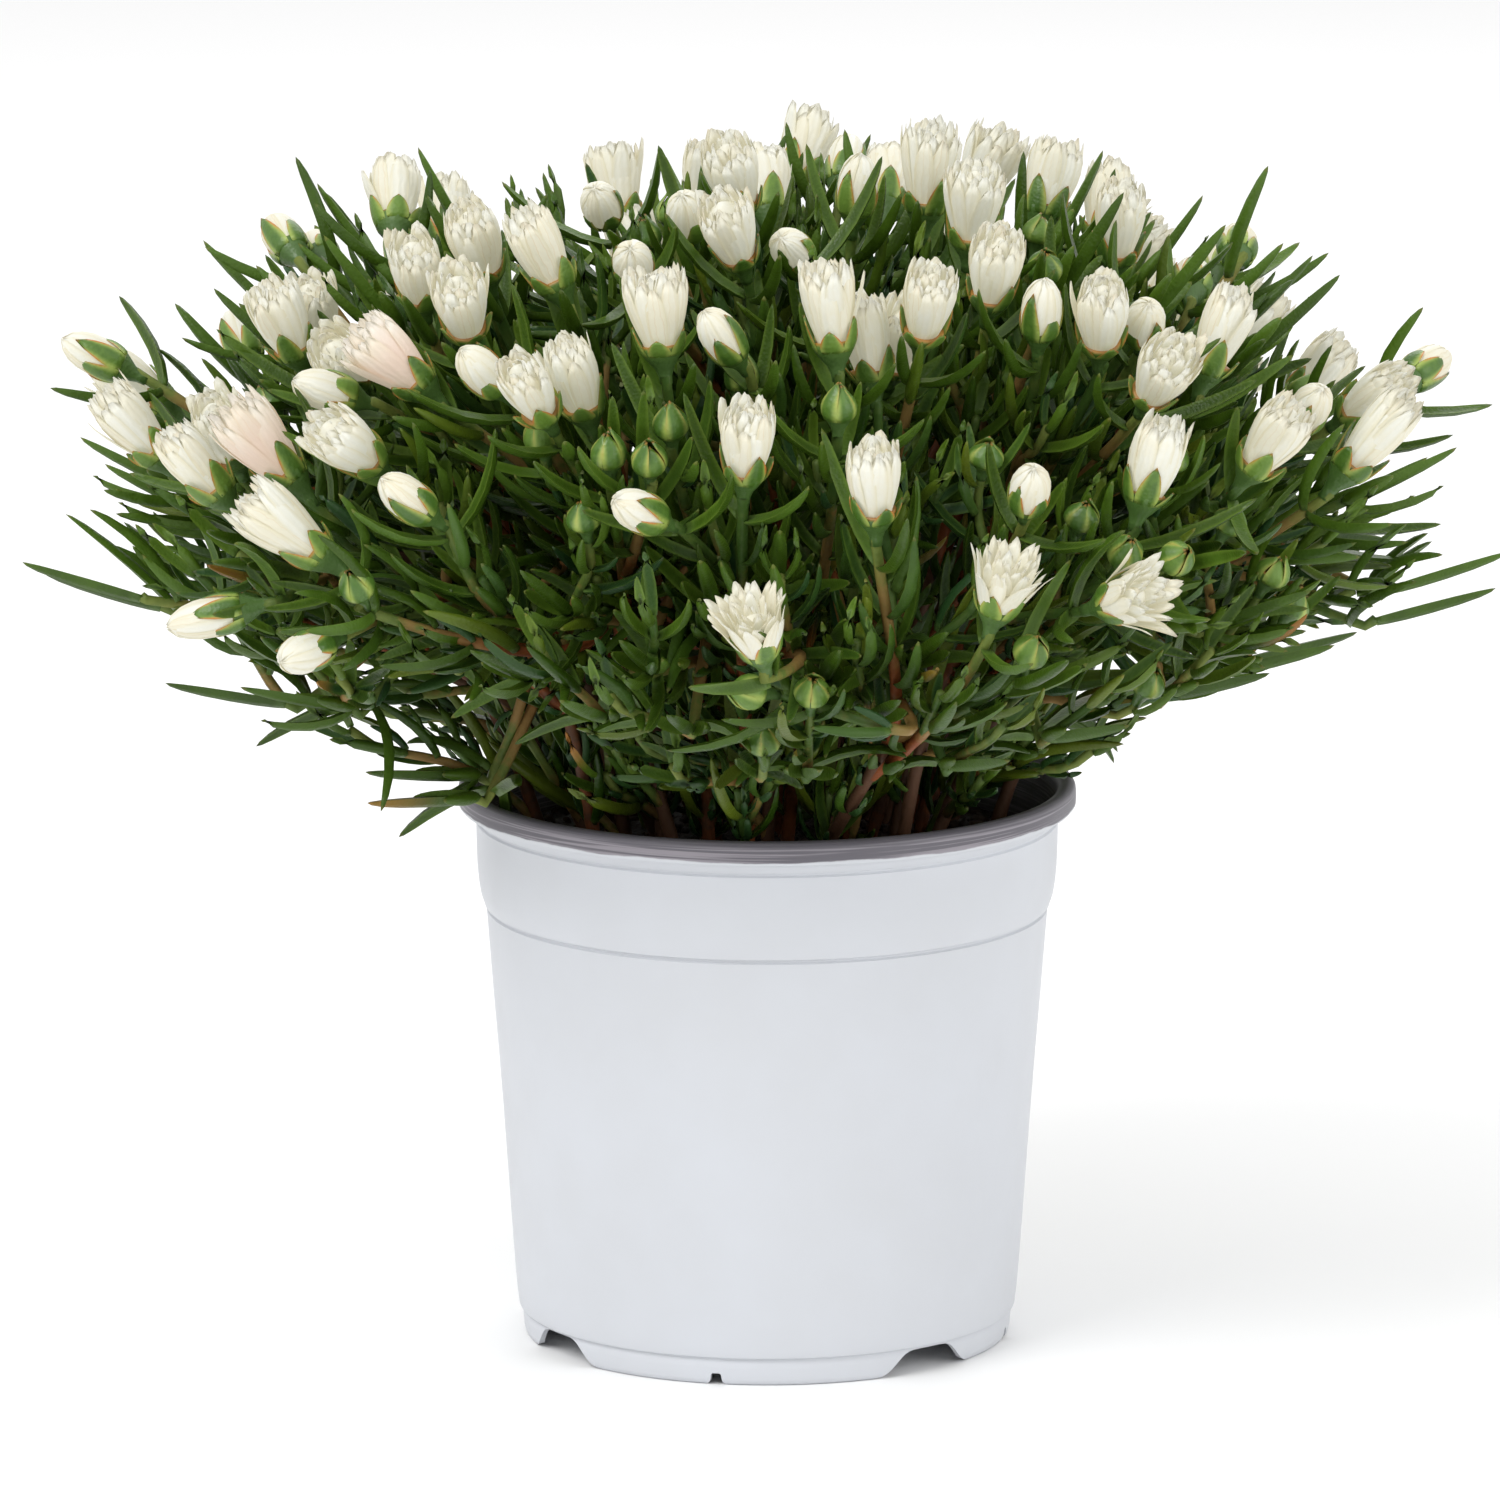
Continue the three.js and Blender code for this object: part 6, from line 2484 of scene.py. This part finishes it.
@dataclass(frozen=True)
class CupFinish:
    """Cups and sepals: deep green with yellow green margins that turn orange brown."""

    deep: Colour = (0.056, 0.130, 0.016)
    light: Colour = (0.130, 0.235, 0.030)
    below: Colour = (0.070, 0.140, 0.032)
    margin: Colour = (0.36, 0.46, 0.10)
    rust: Colour = (0.52, 0.19, 0.04)
    bump: float = 0.25

    def build(self, effects: SharedEffects) -> Material:
        """Makes the material.

        Args:
            effects: The shared effects.

        Returns:
            The material.
        """
        finish = Finish("cup", effects, 220, (self.deep, self.light))
        tree, along = finish.tree, finish.tree.value("along")
        away = tree.math("ABSOLUTE", tree.value("across"))
        lower = tree.times(tree.value("funnel"), tree.span(along, 1.0, 0.5, 0.35, 0.95))
        finish.lay(lower, self.below)
        pale = tree.times(tree.span(away, 0.35, 0.95), tree.span(along, 0.9, 0.5, 0.35, 0.85))
        finish.lay(pale, self.margin)
        rusty = tree.times(tree.span(away, 0.66, 0.95), tree.span(along, 0.2, 0.6))
        rusty = tree.times(rusty, tree.span(tree.noise(finish.place, 90.0), 0.35, 0.55, 0.25, 1))
        rusty = tree.times(rusty, tree.span(tree.value("green"), 0, 1, 1, 0.25))
        finish.lay(rusty, self.rust)
        finish.lay(tree.span(along, 0.9, 1.0, 0, 0.7), self.rust)
        return finish.close((0.36, 0.5), finish.grain(1300), self.bump)


@dataclass(frozen=True)
class StemFinish:
    """Stems: green near the tips, red brown further down and woody at the root."""

    fresh: Colour = (0.050, 0.105, 0.018)
    pale: Colour = (0.165, 0.20, 0.040)
    tan: Colour = (0.245, 0.150, 0.045)
    red: Colour = (0.205, 0.055, 0.014)
    wood: Colour = (0.075, 0.040, 0.022)
    bump: float = 0.35

    def build(self, effects: SharedEffects) -> Material:
        """Makes the material.

        Args:
            effects: The shared effects.

        Returns:
            The material.
        """
        finish = Finish("stem", effects, 160, (self.fresh, self.pale))
        tree = finish.tree
        shift = tree.math("ADD", tree.value("age"), tree.span(finish.patches, 0, 1, -0.12, 0.12))
        finish.lay(tree.span(shift, 0.16, 0.34), self.tan)
        finish.lay(tree.span(shift, 0.36, 0.62), self.red)
        finish.lay(tree.span(shift, 0.8, 1.0, 0, 0.9), self.wood)
        grain = finish.grain(800)
        return finish.close((0.42, 0.6), grain, self.bump, Specular_IOR_Level=0.25)


@dataclass(frozen=True)
class PotFinish:
    """Thin white plastic outside, charcoal grey inside, with a ragged streaky edge at the rim."""

    white: Colour = (0.585, 0.605, 0.645)
    cloudy: Colour = (0.56, 0.575, 0.605)
    grey: Colour = (0.120, 0.112, 0.132)
    worn: Colour = (0.27, 0.25, 0.28)
    edge_height: float = 0.1141
    top_heights: tuple[float, float] = (0.1180, 0.1163)
    streaks: tuple[float, float, float] = (26.0, 26.0, 2300.0)
    bump: float = 0.12

    def build(self, effects: SharedEffects) -> Material:
        """Makes the material.

        Args:
            effects: The shared effects.

        Returns:
            The material.
        """
        finish = Finish("pot_plastic", effects, 24, (self.white, self.cloudy), 0.5)
        tree, place = finish.tree, finish.place
        streaks = tree.noise(tree.stretched(place, self.streaks), 1.0, 5.0)
        height_up = tree.height_of(place)
        ragged = tree.times(tree.math("SUBTRACT", tree.noise(place, 75.0, 6.0), 0.5), 0.0016)
        over = tree.math("SUBTRACT", tree.math("ADD", height_up, ragged), self.edge_height)
        band = tree.span(over, 0.0, 0.00035)
        dark = tree.math("MAXIMUM", band, tree.span(tree.value("lining"), 0.2, 0.8))
        below_top = tree.span(height_up, *self.top_heights, 0.2, 1)
        scratched = tree.times(tree.span(streaks, 0.46, 0.62), below_top)
        lining = tree.mix(scratched, self.grey, self.worn)
        finish.lay(dark, lining)
        relief = tree.math("ADD", finish.grain(260), tree.times(tree.times(streaks, dark), 5.0))
        return finish.close((0.4, 0.5), relief, self.bump)


@dataclass(frozen=True)
class SoilFinish:
    """Dark damp potting soil with some lighter crumbs."""

    dark: Colour = (0.014, 0.009, 0.006)
    brown: Colour = (0.050, 0.030, 0.019)
    pale: Colour = (0.16, 0.11, 0.075)
    bump: float = 0.9

    def build(self, effects: SharedEffects) -> Material:
        """Makes the material.

        Args:
            effects: The shared effects.

        Returns:
            The material.
        """
        finish = Finish("soil", effects, 300, (self.dark, self.brown))
        finish.lay(finish.tree.span(finish.tone, 0.9, 1.0, 0, 0.7), self.pale)
        return finish.close((0.75, 0.95), finish.grain(900), self.bump)


@dataclass(frozen=True)
class StudioSizes:
    """The floor, the lights and how bright they are."""

    floor: float = 30
    floor_colour: Colour = (0.93, 0.93, 0.93)
    floor_roughness: float = 0.9
    world_strength: float = 0.9
    # Each lamp's name, place in metres, watts and width
    lamps: tuple[tuple[str, tuple[float, float, float], float, float], ...] = (
        ("key", (-0.9, -1.0, 1.5), 17, 0.9),
        ("fill", (1.3, -0.9, 0.7), 6, 1.0),
        ("back", (0.3, 1.3, 1.2), 6, 1.0),
    )
    aim_height: float = 0.15
    lens: float = 326.1
    sensor: float = 36
    sight_range: float = 100


class Studio:
    """A pale floor, a soft light all round, three soft lamps and the camera."""

    def __init__(self, sizes: StudioSizes, sight: Sight) -> None:
        """Keeps the sizes."""
        self.sizes = sizes
        self.sight = sight

    def build(self) -> None:
        """Makes the studio."""
        self.build_floor()
        self.build_world()
        for lamp in self.sizes.lamps:
            self.lamp(*lamp)
        self.build_camera()

    def build_floor(self) -> None:
        """The floor under the pot."""
        half = self.sizes.floor / 2
        mesh = bpy.data.meshes.new("floor")
        corners = [(-half, -half, 0), (half, -half, 0), (half, half, 0), (-half, half, 0)]
        mesh.from_pydata(corners, [], [(0, 1, 2, 3)])
        material = bpy.data.materials.new("floor")
        material.use_nodes = True
        shader = material.node_tree.nodes["Principled BSDF"]
        shader.inputs["Base Color"].default_value = (*self.sizes.floor_colour, 1)
        shader.inputs["Roughness"].default_value = self.sizes.floor_roughness
        mesh.materials.append(material)
        floor = bpy.data.objects.new("floor", mesh)
        bpy.context.scene.collection.objects.link(floor)

    def build_world(self) -> None:
        """The light from all round."""
        world = bpy.data.worlds.new("studio")
        world.use_nodes = True
        background = world.node_tree.nodes["Background"]
        background.inputs["Color"].default_value = (1, 1, 1, 1)
        background.inputs["Strength"].default_value = self.sizes.world_strength
        bpy.context.scene.world = world

    def lamp(self, name: str, place: tuple[float, float, float], watts: float, size: float) -> None:
        """A soft square lamp that faces the plant.

        Args:
            name: Its name.
            place: Where it stands, in metres.
            watts: How bright it is.
            size: How wide it is, in metres.
        """
        data = bpy.data.lights.new(name, "AREA")
        data.energy = watts
        data.size = size
        made = bpy.data.objects.new(name, data)
        made.location = place
        aim = Vector((0, 0, self.sizes.aim_height)) - Vector(place)
        made.rotation_euler = aim.to_track_quat("-Z", "Y").to_euler()
        bpy.context.scene.collection.objects.link(made)

    def build_camera(self) -> None:
        """The camera at the photograph's viewing angle."""
        data = bpy.data.cameras.new("camera")
        data.lens = self.sizes.lens
        data.sensor_width = self.sizes.sensor
        data.clip_end = self.sizes.sight_range
        camera = bpy.data.objects.new("camera", data)
        camera.location = np.array(self.sight.eye) * MILLIMETRE
        camera.rotation_euler = (math.radians(90 - self.sight.look_down_deg), 0, 0)
        bpy.context.scene.collection.objects.link(camera)
        bpy.context.scene.camera = camera


class PlantModel:
    """Makes the plant's pieces: stems, leaves, cups and petals of each sector."""

    SECTORS = 6
    FIRST_SEED = 100

    def __init__(self, layout: PlantLayout, foliage: Foliage) -> None:
        """Sorts the sprays into sectors.

        Args:
            layout: The plant's layout.
            foliage: Its leaves, shoots and small buds.
        """
        self.foliage = foliage
        order = sorted(layout.sprays, key=lambda spray: bearing(spray.root))
        cuts = [len(order) * i // self.SECTORS for i in range(self.SECTORS + 1)]
        self.sectors = [order[low:high] for low, high in zip(cuts, cuts[1:])]

    def build(self, effects: SharedEffects) -> None:
        """Makes the pieces and their materials from the shared effects.

        Args:
            effects: The shared effects.
        """
        leaf, petal = LeafFinish().build(effects), PetalFinish().build(effects)
        cup, stem = CupFinish().build(effects), StemFinish().build(effects)
        for i, sprays in enumerate(self.sectors, 1):
            nodes = [f"spray_{spray.number}" for spray in sprays]
            random = np.random.default_rng(self.FIRST_SEED + i)
            stems, leaves, cups, petals = Lofts(), Lofts(), Lofts(), Lofts()
            for spray in sprays:
                for shoot in self.foliage.shoots[spray.number]:
                    StemShape().add(stems, shoot, float(random.random()))
                LeafShape().add(leaves, self.foliage.leaves[spray.number], random)
                tips = [own.tip for own in spray.stems] + self.foliage.buds[spray.number]
                for k, tip in enumerate(tips):
                    if tip.kind is not Kind.LEAFY:
                        bloom = Bloom(tip, 10 * spray.number + k)
                        bloom.cup(cups)
                        bloom.petals(petals)
            dressed(stems.piece(f"stems_{i}", stem), nodes)
            dressed(leaves.piece(f"leaves_{i}", leaf), nodes)
            dressed(cups.piece(f"cups_{i}", cup), nodes)
            dressed(petals.piece(f"petals_{i}", petal), nodes)


def main() -> None:
    """Builds the looks, the studio and the camera."""
    logging.basicConfig(level=logging.INFO, format="%(name)s: %(message)s")
    sizes, sight = PotSizes(), Sight()
    effects = SharedEffects()
    layout = PlantLayout(sizes, sight, Dome(), GrowthRule())
    foliage = Foliage(layout, FoliageRule())
    grown = (foliage.leaves, foliage.shoots, foliage.buds)
    LOG.info("%d leaves, %d shoots, %d small buds", *(sum(map(len, kept.values())) for kept in grown))
    PlantModel(layout, foliage).build(effects)
    dressed(PotModel(sizes, PotDetail()).build(PotFinish().build(effects)), ["pot"])
    dressed(SoilModel(sizes, SoilDetail()).build(SoilFinish().build(effects)), ["soil"])
    Studio(StudioSizes(), sight).build()
    bpy.context.scene.view_settings.view_transform = "Standard"
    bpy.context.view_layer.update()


if __name__ == "__main__":
    main()
